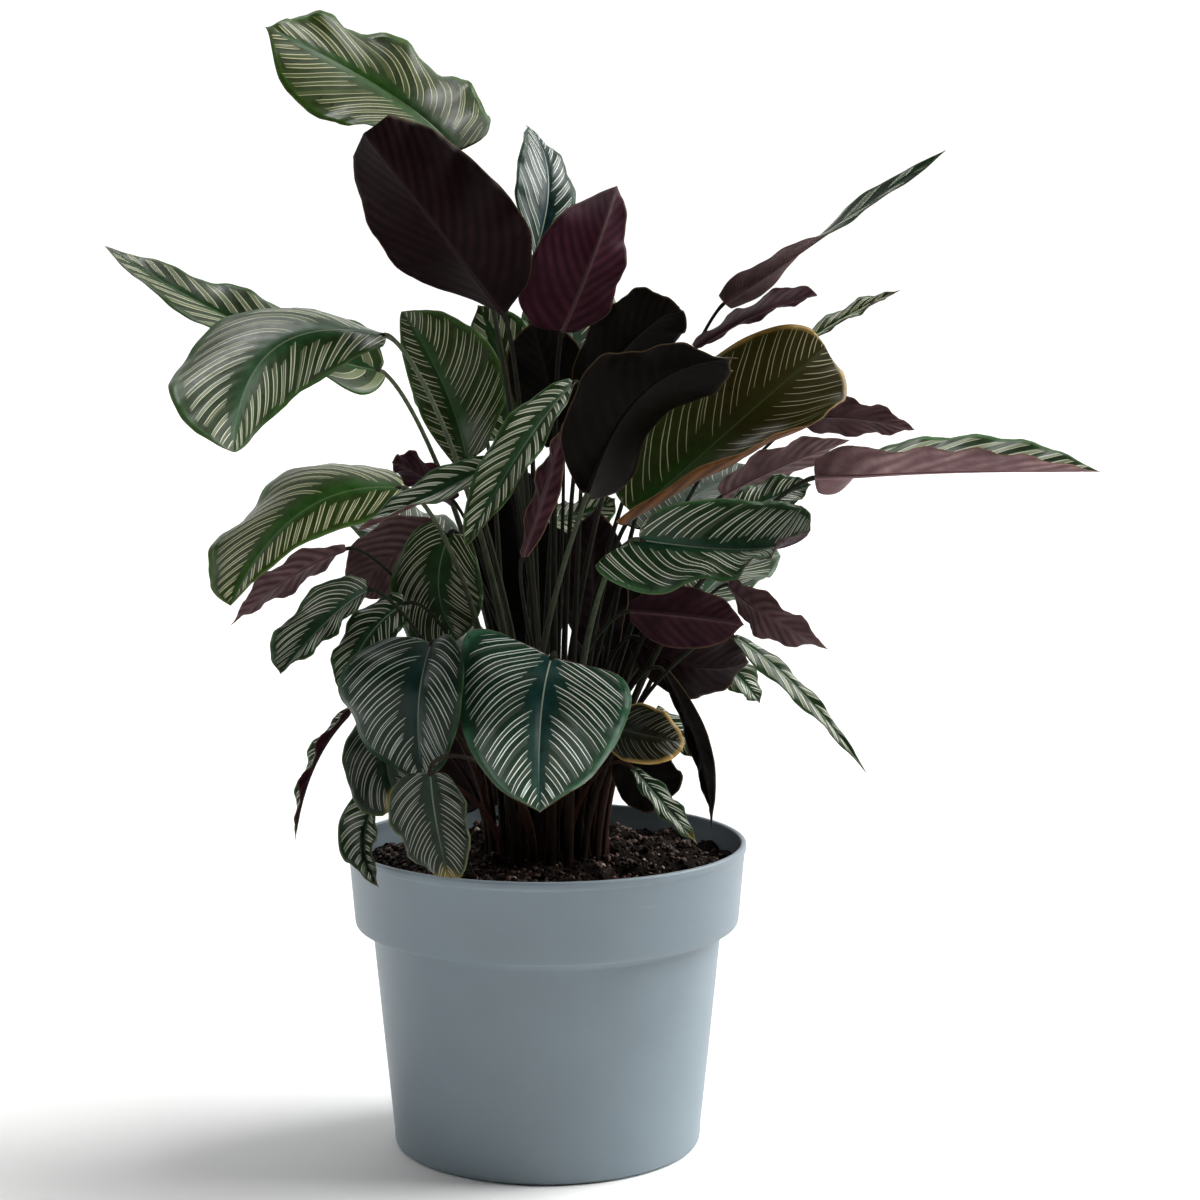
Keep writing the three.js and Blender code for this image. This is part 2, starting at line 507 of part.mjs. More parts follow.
function solidOf(geometry) {
  const bare = geometry.clone();
  bare.deleteAttribute("normal");
  bare.deleteAttribute("uv");
  const merged = mergeVertices(bare, 1e-3);
  const index = merged.index.array;
  const triangles = [];
  for (let i = 0; i < index.length; i += 3) {
    const [a, b, c] = [index[i], index[i + 1], index[i + 2]];
    if (a !== b && b !== c && c !== a) {
      triangles.push(a, b, c);
    }
  }
  return new wasm.Manifold(new wasm.Mesh({
    numProp: 3,
    vertProperties: Float32Array.from(merged.attributes.position.array),
    triVerts: Uint32Array.from(triangles),
  }));
}

function geometryFrom(solid) {
  const mesh = solid.getMesh();
  const geometry = new THREE.BufferGeometry();
  geometry.setAttribute("position", new THREE.BufferAttribute(mesh.vertProperties, 3));
  geometry.setIndex(new THREE.BufferAttribute(mesh.triVerts, 1));
  return geometry;
}

function lathe(profile, sides) {
  const geometry = new THREE.LatheGeometry(profile.map(([r, z]) => new THREE.Vector2(r, z)), sides);
  return geometry.rotateX(Math.PI / 2);
}

// ---------------------------------------------------------------- pot
function insideRadius(z) {
  const share = THREE.MathUtils.clamp((z - FLOOR_Z) / (COLLAR_BOTTOM_Z - FLOOR_Z), 0, 1);
  return THREE.MathUtils.lerp(BODY_BOTTOM_R, BODY_TOP_R, share) - WALL;
}

function potGeometry() {
  const step = COLLAR_BOTTOM_Z - 5; // where the wall begins to step out under the collar
  const profile = [
    [0, 0], [PAD_R, 0], [PAD_R + 1.5, RECESS_Z], [FOOT_RING_R - 1.5, RECESS_Z], [FOOT_RING_R, 0],
    [BODY_BOTTOM_R - BASE_ROUND, 0], [BODY_BOTTOM_R - 0.8, 1.4], [BODY_BOTTOM_R, BASE_ROUND + 0.5],
    [BODY_TOP_R, step], [BODY_TOP_R + 2.2, COLLAR_BOTTOM_Z - 2.6],
    [COLLAR_BOTTOM_R - 2.6, COLLAR_BOTTOM_Z - 0.4], [COLLAR_BOTTOM_R, COLLAR_BOTTOM_Z + 3],
    [COLLAR_TOP_R, POT_HEIGHT - 5], [RIM_R, POT_HEIGHT - 3.4], [RIM_R, POT_HEIGHT - 1.2],
    [RIM_R - 1.3, POT_HEIGHT], [RIM_R - 3, POT_HEIGHT - 0.6],
    [COLLAR_TOP_R - WALL, POT_HEIGHT - 5], [COLLAR_BOTTOM_R - WALL, COLLAR_BOTTOM_Z + 4],
    [BODY_TOP_R, COLLAR_BOTTOM_Z + 0.4], [insideRadius(step - 3), step - 3],
    [BODY_BOTTOM_R - WALL, FLOOR_Z + 2.4], [BODY_BOTTOM_R - WALL - 2.4, FLOOR_Z], [0, FLOOR_Z],
  ];
  let pot = solidOf(lathe(profile, POT_SIDES));
  for (let i = 0; i < DRAIN_COUNT; i += 1) {
    const angle = (2 * Math.PI * i) / DRAIN_COUNT;
    const drill = new THREE.CylinderGeometry(DRAIN_R, DRAIN_R, 4 * FLOOR_Z, 10).rotateX(Math.PI / 2);
    drill.translate(DRAIN_CIRCLE_R * Math.cos(angle), DRAIN_CIRCLE_R * Math.sin(angle), 0);
    pot = pot.subtract(solidOf(drill));
  }
  return geometryFrom(pot);
}

// ---------------------------------------------------------------- soil
function seededDraw(seed) {
  let state = seed;
  return () => {
    state = (state * 1664525 + 1013904223) % 4294967296;
    return state / 4294967296;
  };
}

// The soil fills the pot and is mounded in the middle; its top rings are lifted and lowered at random.
function soilGeometry() {
  const draw = seededDraw(SOIL_SEED);
  const edge = COLLAR_TOP_R - WALL - GAP - 0.6;
  const step = COLLAR_BOTTOM_Z - 8;
  const top = (r) => SOIL_EDGE_Z + SOIL_CROWN * (1 - (r / edge) ** 2);
  const wall = [
    [BODY_BOTTOM_R - WALL - 3.2, FLOOR_Z + GAP], [BODY_BOTTOM_R - WALL - 0.8, FLOOR_Z + 3],
    [insideRadius(step) - 0.5, step], [BODY_TOP_R - 0.8, COLLAR_BOTTOM_Z + 1.4],
    [COLLAR_BOTTOM_R - WALL - 1.2, COLLAR_BOTTOM_Z + 5], [edge - 0.8, SOIL_EDGE_Z],
  ];
  const points = [new THREE.Vector3(0, 0, FLOOR_Z + GAP)];
  const faces = [];
  const rings = wall.map(([r, z]) => ({ r, z, lump: 0 }));
  for (const r of [...SOIL_RINGS].reverse()) {
    rings.push({ r, z: top(r), lump: SOIL_LUMP });
  }
  for (const { r, z, lump } of rings) {
    for (let i = 0; i < SOIL_SIDES; i += 1) {
      const angle = (2 * Math.PI * i) / SOIL_SIDES;
      const lift = lump * (2 * draw() - 1);
      points.push(new THREE.Vector3(r * Math.cos(angle), r * Math.sin(angle), z + lift));
    }
  }
  const crown = points.push(new THREE.Vector3(0, 0, top(0))) - 1;
  const at = (ring, i) => 1 + ring * SOIL_SIDES + (i % SOIL_SIDES);
  for (let i = 0; i < SOIL_SIDES; i += 1) {
    faces.push([0, at(0, i + 1), at(0, i)]);
    for (let ring = 0; ring + 1 < rings.length; ring += 1) {
      faces.push([at(ring, i), at(ring, i + 1), at(ring + 1, i + 1)]);
      faces.push([at(ring, i), at(ring + 1, i + 1), at(ring + 1, i)]);
    }
    faces.push([at(rings.length - 1, i), at(rings.length - 1, i + 1), crown]);
  }
  let soil = solidOf(geometryOf(points, faces));
  for (const blade of LEAVES) {
    soil = soil.subtract(solidOf(stalkHole(blade)));
  }
  return geometryFrom(soil);
}

// A plain upright hole that clears a stalk's foot all round.
function stalkHole(blade) {
  const foot = stalkRings(blade)[0];
  const centre = rootPlace(blade.root).setZ(STALK_FOOT_Z);
  const outer = foot.map((point) => {
    const arm = point.clone().sub(centre);
    return centre.clone().addScaledVector(arm, 1 + HOLE_EXTRA_R / arm.length());
  });
  const low = outer.map((point) => point.clone().setZ(STALK_FOOT_Z - GAP));
  const high = outer.map((point) => point.clone().setZ(STALK_LEAVES_SOIL_Z + 20));
  const faces = [[0, 1, 2], [0, 2, 3], [0, 3, 4], [5, 7, 6], [5, 8, 7], [5, 9, 8]];
  for (let i = 0; i < STALK_SIDES; i += 1) {
    const next = (i + 1) % STALK_SIDES;
    faces.push([i, i + STALK_SIDES, next + STALK_SIDES], [i, next + STALK_SIDES, next]);
  }
  return geometryOf([...low, ...high], faces);
}

// ---------------------------------------------------------------- the object
const POT_COLOUR = 0x8b9aa3;
const SOIL_COLOUR = 0x2a1d16;
const LEAF_COLOUR = 0x2b4433;

function node(name, geometry, color, roughness) {
  const material = new THREE.MeshStandardMaterial({ color, roughness, metalness: 0 });
  const mesh = new THREE.Mesh(geometry, material);
  mesh.name = name;
  return mesh;
}

const calathea = new THREE.Group();
LEAVES.forEach(settle);
calathea.add(node("pot", potGeometry(), POT_COLOUR, 0.55));
calathea.add(node("soil", soilGeometry(), SOIL_COLOUR, 0.95));
for (const blade of LEAVES) {
  calathea.add(node(`leaf_${blade.name}`, leafGeometry(blade), LEAF_COLOUR, 0.45));
}

export default calathea;
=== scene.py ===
"""Potted calathea: a pin-stripe calathea in a blue-grey nursery pot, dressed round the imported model.

Sizes are millimetres until a mesh is made. The origin is the middle of the pot's base, Z is up, and the
plant's front faces -Y. Every leaf is worked out from its row in the table, by the same curves that gave the
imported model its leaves, on a finer grid and with midrib, veins and pin stripes.
"""

import bmesh
import bpy
import numpy as np
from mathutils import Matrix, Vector


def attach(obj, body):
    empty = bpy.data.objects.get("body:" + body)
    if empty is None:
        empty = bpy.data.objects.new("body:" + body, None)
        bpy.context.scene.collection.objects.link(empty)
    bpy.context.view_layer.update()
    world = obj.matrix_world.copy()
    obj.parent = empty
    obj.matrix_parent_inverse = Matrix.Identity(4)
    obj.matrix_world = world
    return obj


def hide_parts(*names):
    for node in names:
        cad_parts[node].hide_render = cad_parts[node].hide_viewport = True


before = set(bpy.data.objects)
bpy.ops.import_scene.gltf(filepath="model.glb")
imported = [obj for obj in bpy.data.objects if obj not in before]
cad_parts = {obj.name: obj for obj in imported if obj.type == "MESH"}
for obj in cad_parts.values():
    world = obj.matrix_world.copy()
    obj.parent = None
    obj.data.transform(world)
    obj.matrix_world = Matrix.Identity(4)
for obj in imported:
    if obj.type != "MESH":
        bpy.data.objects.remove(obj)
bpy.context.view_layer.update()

MM = 0.001
METRE = 1000  # a pattern's scale is this over the size of one of its blotches in mm

# ---------------------------------------------------------------- the view and the light
CAMERA_AT = (32, -1575, 510)  # mm
CAMERA_DOWN = 6.5  # degrees below level
CAMERA_LENS = 79.5  # mm on a 36 mm sensor

FLOOR_REACH = 9e4
WALL_AWAY = 3e4  # also its height

SKY_BRIGHT_WAY = (0.36, 0.90, 0.25)  # the bright side of the studio, behind the plant and to its right
SKY_SPREAD = (-0.12, 0.78)  # cosines between which the light rises from dim to bright
SKY_DIM = 0.05
SKY_BRIGHT = 1.05
WINDOWS = {  # the way to each soft lamp, its strength, the degrees that it spans, and whether it lights
    # matte surfaces too, or only shows as a gloss
    "right window": ((0.76, 0.20, 0.66), 4.7, 46, True),
    "left window": ((-0.80, 0.0, 0.45), 0.7, 30, True),
    "ceiling softbox": ((-0.18, 0.28, 0.94), 1.5, 22, False),
}

# ---------------------------------------------------------------- pot and soil
POT_HEIGHT = 185
RIM_R = 120.4
COLLAR_TOP_R = 119.4
COLLAR_BOTTOM_R = 116
COLLAR_BOTTOM_Z = 136
BODY_TOP_R = 105.2
BODY_BOTTOM_R = 93
WALL = 2.2
FLOOR_Z = 4.6
FOOT_RING_R = 82
RECESS_Z = 2
PAD_R = 17
DRAIN_COUNT = 8
DRAIN_R = 5
DRAIN_CIRCLE_R = 58

SOIL_EDGE_Z = 169
SOIL_CROWN = 8
SOIL_SEED = 7

# ---------------------------------------------------------------- leaves
ROOT_STEP = 9
ROOT_RINGS = [(1, 0), (6, 0), (12, 18.75), (18, 17.5), (21, 8.6)]  # stalks in each ring, turn in degrees
SOIL_Z = 176  # where a stalk leaves the soil
FOOT_Z = 162
HEM_START = 0.7  # a hem turns the margin from this share of the half width outwards
BLADE_THICK = 0.75
MARGIN_THINNER = 0.4  # by how much the margin is thinner than the rest
QUILT = 0.42  # how far the blade swells between two lateral veins
FURROW_DEPTH = 0.4
FURROW_WIDTH = 1.5
RIGHT_SHIFT = 0.37  # the right half's veins, as a share of their distance, against the left's
COUNT_START = 40.5  # keeps the count of veins above zero in the lobes behind the base
STALK_FOOT_R = 2.7
STALK_TOP_R = 1.35
STALK_RISE = 0.5  # how far a stalk first heads straight up, as a share of its span
STALK_ARRIVE = 22

# ---------------------------------------------------------------- fineness of the meshes
BLADE_ROWS, BLADE_COLS = 84, 33
ROW_CROWDING, COL_CROWDING = 1.25, 1.35  # over 1, rows crowd towards the tip and columns to the midrib
LAST_ROW = 0.9985
STALK_ROWS, STALK_SIDES, KEEL_ROWS = 54, 14, 30
POT_SIDES, HOLE_SIDES = 256, 32
SOIL_SIDES, SOIL_RINGS = 360, 96
CRUMBS = 6000
LEAF_WELD, SOIL_WELD, POT_WELD = 0.00001, 0.00002, 0.00003  # metres between points that become one

LEAVES = []


def two(value):
    """A value for each half of a blade: a single number goes to both."""
    return np.broadcast_to(np.asarray(value, float), 2)


def leaf(name, root, base, mid, tip, face, half, fold=12, open=None, curl=-25, hem=0, twist=0, neck=0,
         nose=0, wave=2.5, waves=3.5, point=1.25, wide=0.4, lobe=0.42, full=1, ear=0.55, bow=(0, 0)):
    """A row of the table: place in the soil (ring, slot), blade base, middle of the midrib, tip, the way
    the upper side faces, and half the width (or left and right, seen from above with the tip ahead).
    fold and open are the degrees that each half rises from the midrib, at base and tip; curl and hem turn
    it further out; twist, neck and nose turn the whole blade, its base and its tip about the midrib. wave
    is the height of the margin's waves in mm and waves their number. wide is where the blade is widest;
    lobe, full and point are how broad its base, how round its shoulders and how sharp its tip are; ear is
    how far the lobes reach back. bow bends the stalk sideways, in mm."""
    LEAVES.append(dict(
        name=name, root=root, base=np.array(base, float), mid=np.array(mid, float), tip=np.array(tip, float),
        face=np.array(face, float), half=two(half), fold=np.radians(two(fold)),
        open=np.radians(two(fold if open is None else open)), curl=np.radians(two(curl)),
        hem=np.radians(two(hem)), twist=np.radians(twist), neck=np.radians(neck), nose=np.radians(nose),
        wave=two(wave), waves=waves, point=point, wide=wide, lobe=lobe, full=full, ear=two(ear), bow=bow,
    ))


leaf("crown_left", (0, 0), (-52, -7, 595), (-96, 41, 633), (-167, 26, 670),
     (0.35, -0.79, 0.51), (49, 41), fold=(33, 26), open=(-1, -7), curl=(-20, -30), twist=-3, nose=-6,
     wave=(1, 5), waves=4.6, point=1.26, wide=0.44, lobe=0.38, full=0.6, ear=(0.2, 0.5))
leaf("crown_dark", (1, 1), (-24, -39, 501), (-57, -70, 546), (-101, -65, 602),
     (0.25, 0.94, 0.22), (43, 45), fold=(34, 32), open=(35, 39), curl=(-20, -25), twist=15, nose=-6,
     wave=(4.5, 1), waves=5, point=0.73, wide=0.31, lobe=0.1, ear=(0.6, 0.2))
leaf("crown_pale", (1, 5), (-8, 65, 537), (0, 85, 585), (-15, 129, 619),
     (0.52, -0.85, 0.11), (26, 18), fold=(24, 26), open=(17, 7), twist=19, neck=23, nose=3, wave=1.5,
     point=1.38, wide=0.27, lobe=0.1, ear=(0.5, 0.4))
leaf("crown_plum", (1, 2), (10, -14, 491), (27, -36, 531), (42, -14, 575),
     (0.09, 0.99, 0.11), (24, 34), fold=(34, -1), open=(40, 3), curl=(-10, -25), twist=-23, neck=-7,
     nose=-13, wave=(3, 1), waves=3, point=1.03, wide=0.2, lobe=0.46, ear=0.5)
leaf("crown_black", (1, 3), (26, 6, 454), (52, 10, 486), (79, 0, 505),
     (-0.3, 1, 0.3), 28, fold=(30, 10), wave=3)
leaf("centre_dark", (3, 2), (25, -98, 402), (57, -104, 459), (106, -157, 478),
     (-0.46, 0.88, 0.12), (49, 36), fold=(44, 28), open=(17, -8), curl=(-10, -30), twist=-31, neck=-23,
     nose=4, wave=3.5, waves=3, point=1.65, wide=0.32, lobe=0.1, ear=(0.8, 0.5), bow=(0, -3))
leaf("right_olive", (2, 5), (52, -21, 384), (111, -22, 436), (165, -3, 482),
     (-0.09, -0.99, 0.05), (40, 46), fold=(-12, 62), open=(4, -38), curl=(-10, 85), twist=15,
     wave=(0.6, 1.6), waves=5, point=0.75, wide=0.35, lobe=0.6, ear=(0.3, 0.5))
leaf("spear_top", (3, 9), (107, 28, 507), (157, 5, 542), (232, -25, 595),
     (-0.4, 0.05, 0.9), (16, 15), fold=15, curl=-15, twist=122, wave=(1.5, 2), waves=3, point=1.1,
     wide=0.3, lobe=0.4, ear=0.3, bow=(0, 7))
leaf("spear_plum", (2, 7), (90, 20, 481), (124, 10, 501), (159, -13, 512),
     (-0.34, 0.43, 0.84), (10, 25), fold=(4, 0), open=(23, 5), twist=-19, neck=-7, nose=-7, wave=2,
     point=0.78, wide=0.43, lobe=0.37, ear=(0.5, 0.4), bow=(-1, 0))
leaf("right_sliver", (4, 13), (158, 96, 481), (190, 98, 500), (220, 95, 515),
     (-0.3, -0.3, 0.8), 11, fold=25, wave=1.5, point=1.6, bow=(11, 2))
leaf("right_tongue", (4, 12), (161, 76, 436), (191, 77, 436), (227, 67, 429),
     (0, 0.71, 0.71), (17, 16), fold=(11, 13), open=(13, 16), nose=-3, point=1.17, wide=0.28, lobe=0.35,
     ear=(0.7, 0.6), bow=(0, 6))
leaf("right_long", (4, 8), (161, 12, 403), (237, 0, 408), (325, -25, 409),
     (0, -0.05, 1), (31, 25), fold=(20, 33), open=(50, 33), curl=(8, 10), neck=-75, wave=(1.5, 2),
     waves=6, point=1.15, wide=0.35, full=0.8, ear=0.2, bow=(6, -2))
leaf("right_mauve", (4, 10), (107, 43, 390), (140, 53, 406), (187, 66, 423),
     (0, 0.7, 0.6), 16, fold=20, bow=(-4, 16))
leaf("right_shadow", (3, 8), (107, 13, 377), (135, 25, 389), (160, 25, 398),
     (0, -0.7, 0.6), 14, fold=20, bow=(1, -10))
leaf("front_right", (4, 6), (54, -102, 376), (118, -116, 372), (146, -144, 385),
     (0.04, -0.64, 0.77), (29, 33), fold=(40, 19), open=(30, 44), curl=(-15, -30), twist=-18, neck=26,
     nose=4, wave=(1.5, 3.5), waves=4, point=0.8, wide=0.27, lobe=0.44, full=0.55, ear=(0.2, 1.1))
leaf("right_plum_inner", (3, 3), (50, -70, 332), (86, -90, 331), (113, -100, 328),
     (0.01, 1, 0.08), (19, 17), fold=(14, 26), open=(13, 27), twist=24, neck=10, wide=0.28, lobe=0.32,
     ear=(0.5, 0.6))
leaf("right_plum_outer", (4, 9), (111, 31, 336), (133, 9, 320), (171, 20, 298),
     (-0.13, 0.7, 0.7), (20, 15), fold=(15, 9), open=(16, 10), twist=-17, nose=4, point=1.49, wide=0.38,
     ear=(0.5, 0.4), bow=(2, 17))
leaf("right_hanging", (4, 7), (111, -28, 312), (150, -28, 280), (189, -38, 232),
     (0.5, -0.62, 0.6), (7, 12), fold=(16, 4), open=(18, 31), twist=26, neck=3, nose=5, wave=1.5,
     point=1.11, wide=0.2, lobe=0.31, ear=(-0.1, 0.2), bow=(2, 1))
leaf("right_small", (4, 11), (93, 40, 298), (114, 45, 281), (131, 45, 261),
     (0.2, -0.6, 0.6), 13, fold=20)
leaf("right_black", (2, 6), (56, 7, 306), (89, 7, 290), (123, 25, 290),
     (-0.1, 0.8, 0.4), 24, bow=(0, -4))
leaf("right_drooping", (3, 7), (70, -21, 290), (91, -15, 242), (99, -12, 193),
     (0.3, 0.9, 0.1), 8, fold=40, wave=1.5, point=1.5, ear=0.1, bow=(-6, -3))
leaf("right_tiny", (4, 15), (67, 70, 252), (86, 75, 234), (103, 75, 224),
     (0.2, -0.7, 0.5), 10)
leaf("low_right_round", (3, 4), (37, -42, 261), (59, -69, 260), (81, -67, 255),
     (0.07, -0.92, 0.39), 18, fold=(15, 11), open=(11, 10), twist=-6, wave=1.2, point=1.17, wide=0.32,
     lobe=0.25, ear=(0.7, 0.5))
leaf("low_right_black", (3, 6), (45, -40, 245), (58, -46, 232), (72, -48, 218),
     (0, 0.9, 0.3), 20, bow=(-2, 0))
leaf("low_right_narrow", (3, 5), (51, -60, 239), (68, -72, 221), (88, -78, 198),
     (0.3, -0.7, 0.5), 8, fold=25, lobe=0.3, ear=0)
leaf("front_centre", (4, 5), (5, -112, 311), (-1, -120, 277), (0, -187, 238),
     (-0.02, -0.93, 0.37), (50, 51), fold=14, open=17, curl=-35, twist=7, neck=-7, wave=(1.2, 1),
     point=1.14, wide=0.21, lobe=0.38, full=0.5, ear=(0.5, 1))
leaf("front_left", (4, 3), (-63, -93, 316), (-69, -115, 285), (-69, -86, 237),
     (-0.31, -0.88, 0.37), (28, 49), fold=(34, 27), open=(10, 9), curl=-35, twist=29, neck=15, nose=-11,
     wave=(2, 1), point=1.21, wide=0.31, lobe=0.28, full=0.6, ear=0.4)
leaf("front_left_lower", (4, 1), (-80, -69, 276), (-90, -75, 247), (-82, -78, 223),
     (-0.15, -1, 0.3), 26, point=1, bow=(0, 1))
leaf("rim_left", (4, 4), (-61, -143, 251), (-58, -139, 222), (-52, -129, 190),
     (-0.06, -0.94, 0.34), (18, 26), fold=(-7, 4), open=(2, -9), twist=36, nose=7, point=0.71,
     wide=0.29, lobe=0.32, full=0.6, ear=(0.3, 0.5), bow=(5, -30))
leaf("rim_crumpled", (4, 2), (-92, -52, 228), (-104, -72, 201), (-93, -105, 179),
     (-0.4, -0.9, 0.2), (10, 16), fold=(30, 60), waves=3, bow=(0, -1))
leaf("left_hanging", (4, 20), (-116, -25, 267), (-138, -28, 234), (-149, -28, 190),
     (-0.9, -0.2, 0.4), 8, fold=45, point=1.5)
leaf("left_narrow", (4, 0), (-101, -61, 343), (-126, -47, 324), (-153, -59, 294),
     (-0.33, -0.71, 0.62), (14, 24), fold=(22, 20), open=(24, 14), twist=5, neck=-3, wide=0.47,
     lobe=0.27, ear=(0.3, 0.4), bow=(0, -6))
leaf("left_plum", (4, 19), (-118, -19, 363), (-152, -22, 346), (-187, -17, 317),
     (-0.04, 0.64, 0.77), (13, 16), fold=21, open=(23, 30), twist=13, neck=-5, nose=-7, point=1.53,
     wide=0.38, lobe=0.23, ear=(0.4, 0.5), bow=(0, 1))
leaf("left_large", (3, 1), (-82, -58, 402), (-138, -69, 389), (-177, -86, 337),
     (-0.23, -0.7, 0.67), (22, 52), fold=(-11, -9), open=(18, 5), curl=-35, twist=9, neck=15, nose=-15,
     wave=(1.5, 3.5), point=1.03, wide=0.24, lobe=0.1, full=0.7, ear=(0.6, 0.5))
leaf("arched_left", (2, 1), (-91, -50, 489), (-152, -66, 482), (-169, -123, 426),
     (0, -0.91, 0.4), (30, 47), fold=(-17, -5), open=(-18, -17), curl=-35, twist=-42, neck=24, nose=-16,
     wave=(1, 2.5), point=0.98, wide=0.41, lobe=0.4, full=0.7, ear=(0.4, 0.3))
leaf("long_left", (2, 11), (-99, 4, 467), (-171, -16, 492), (-264, 22, 541),
     (0.03, -0.53, 0.85), (31, 30), fold=(37, 30), open=(14, 9), twist=-2, neck=-25, nose=2,
     wave=(1.5, 3), waves=4, point=1, wide=0.2, lobe=0.19, ear=(0.6, 0.7), bow=(-2, 1))
leaf("upright_left", (1, 0), (-48, 16, 413), (-63, 41, 457), (-86, 9, 502),
     (-0.11, -0.98, 0.18), (20, 39), fold=(22, 24), open=(26, 24), twist=14, nose=-8, wave=(1, 2),
     point=0.92, wide=0.34, lobe=0.43, ear=(0.3, 0.4), bow=(3, -1))
leaf("upright_pale", (2, 8), (-24, 70, 422), (-27, 75, 464), (-44, 80, 506),
     (0, -1, 0.25), (22, 26))
leaf("slanting_centre", (2, 4), (17, -61, 462), (-11, -90, 427), (-42, -119, 374),
     (-0.27, -0.92, 0.28), (11, 17), fold=(29, 26), open=(20, 25), twist=-13, neck=3, point=0.86,
     wide=0.43, lobe=0.23, ear=(0, 0.4))
leaf("rolled_young", (2, 3), (-12, -73, 364), (1, -75, 402), (11, -75, 440),
     (0.3, 0.9, 0), (9, 12), fold=50, lobe=0.4, ear=0.1, bow=(1, 2))
leaf("pale_centre", (3, 14), (-1, 96, 371), (21, 111, 373), (42, 115, 383),
     (0, -0.8, 0.6), (12, 16), bow=(1, 0))
leaf("inner_left", (2, 0), (-57, -16, 371), (-63, -23, 339), (-52, -23, 309),
     (-0.2, -1, 0.15), (27, 29), lobe=0.4, full=0.7)
leaf("mauve_left", (2, 9), (-67, 16, 368), (-93, 15, 356), (-117, 10, 334),
     (0, 0.9, 0.4), (22, 24), fold=15)
leaf("edge_left", (2, 2), (-27, -75, 417), (-63, -85, 399), (-106, -92, 379),
     (0.1, -0.25, 1), (18, 15), fold=(25, 40), twist=50, wave=1.5, lobe=0.3, bow=(-1, 1))
leaf("shadow_left", (2, 10), (-56, -3, 391), (-75, 0, 406), (-92, 0, 413),
     (0, 0.6, 0.7), 15, bow=(0, 1))
leaf("striped_left", (3, 0), (-82, -42, 333), (-103, -48, 314), (-118, -60, 283),
     (-0.3, -0.75, 0.5), 17, bow=(0, -1))
leaf("inner_black", (1, 4), (9, 18, 425), (1, 18, 462), (-9, 14, 496),
     (0, 1, 0.1), 24)
leaf("back_crown_middle", (3, 13), (7, 95, 421), (14, 140, 483), (6, 185, 530),
     (0, -0.6, 0.8), 34)
leaf("back_crown_right", (3, 12), (46, 90, 421), (72, 145, 448), (99, 195, 461),
     (-0.2, -0.6, 0.8), 34)
leaf("back_crown_left", (3, 16), (-40, 95, 421), (-57, 145, 444), (-68, 190, 468),
     (0.2, -0.6, 0.8), 32)
leaf("back_right_high", (3, 11), (63, 82, 365), (100, 140, 386), (140, 190, 397),
     (-0.2, -0.6, 0.8), 32, bow=(-2, -3))
leaf("back_right_low", (4, 14), (88, 70, 316), (114, 120, 335), (146, 170, 348),
     (-0.2, -0.5, 0.8), 28, bow=(0, 2))
leaf("back_left_high", (3, 17), (-62, 79, 347), (-97, 128, 365), (-140, 175, 377),
     (0.2, -0.5, 0.8), 30)
leaf("back_left_low", (4, 18), (-50, 80, 283), (-77, 130, 286), (-111, 175, 250),
     (0.2, -0.7, 0.7), 28)
leaf("back_low_right", (4, 16), (35, 85, 264), (44, 108, 302), (55, 130, 338),
     (0.1, 1, 0.35), 28)
leaf("back_middle", (3, 15), (-13, 85, 290), (-19, 115, 350), (-32, 142, 407),
     (-0.1, 1, 0.3), 33, bow=(-1, 0))
leaf("back_low_left", (4, 17), (-42, 52, 196), (-50, 72, 227), (-62, 92, 262),
     (0, 1, 0.3), 25)
leaf("back_inner_right", (3, 10), (34, 50, 294), (28, 74, 335), (30, 91, 380),
     (0.2, 1, 0.35), 22, bow=(-7, -6))

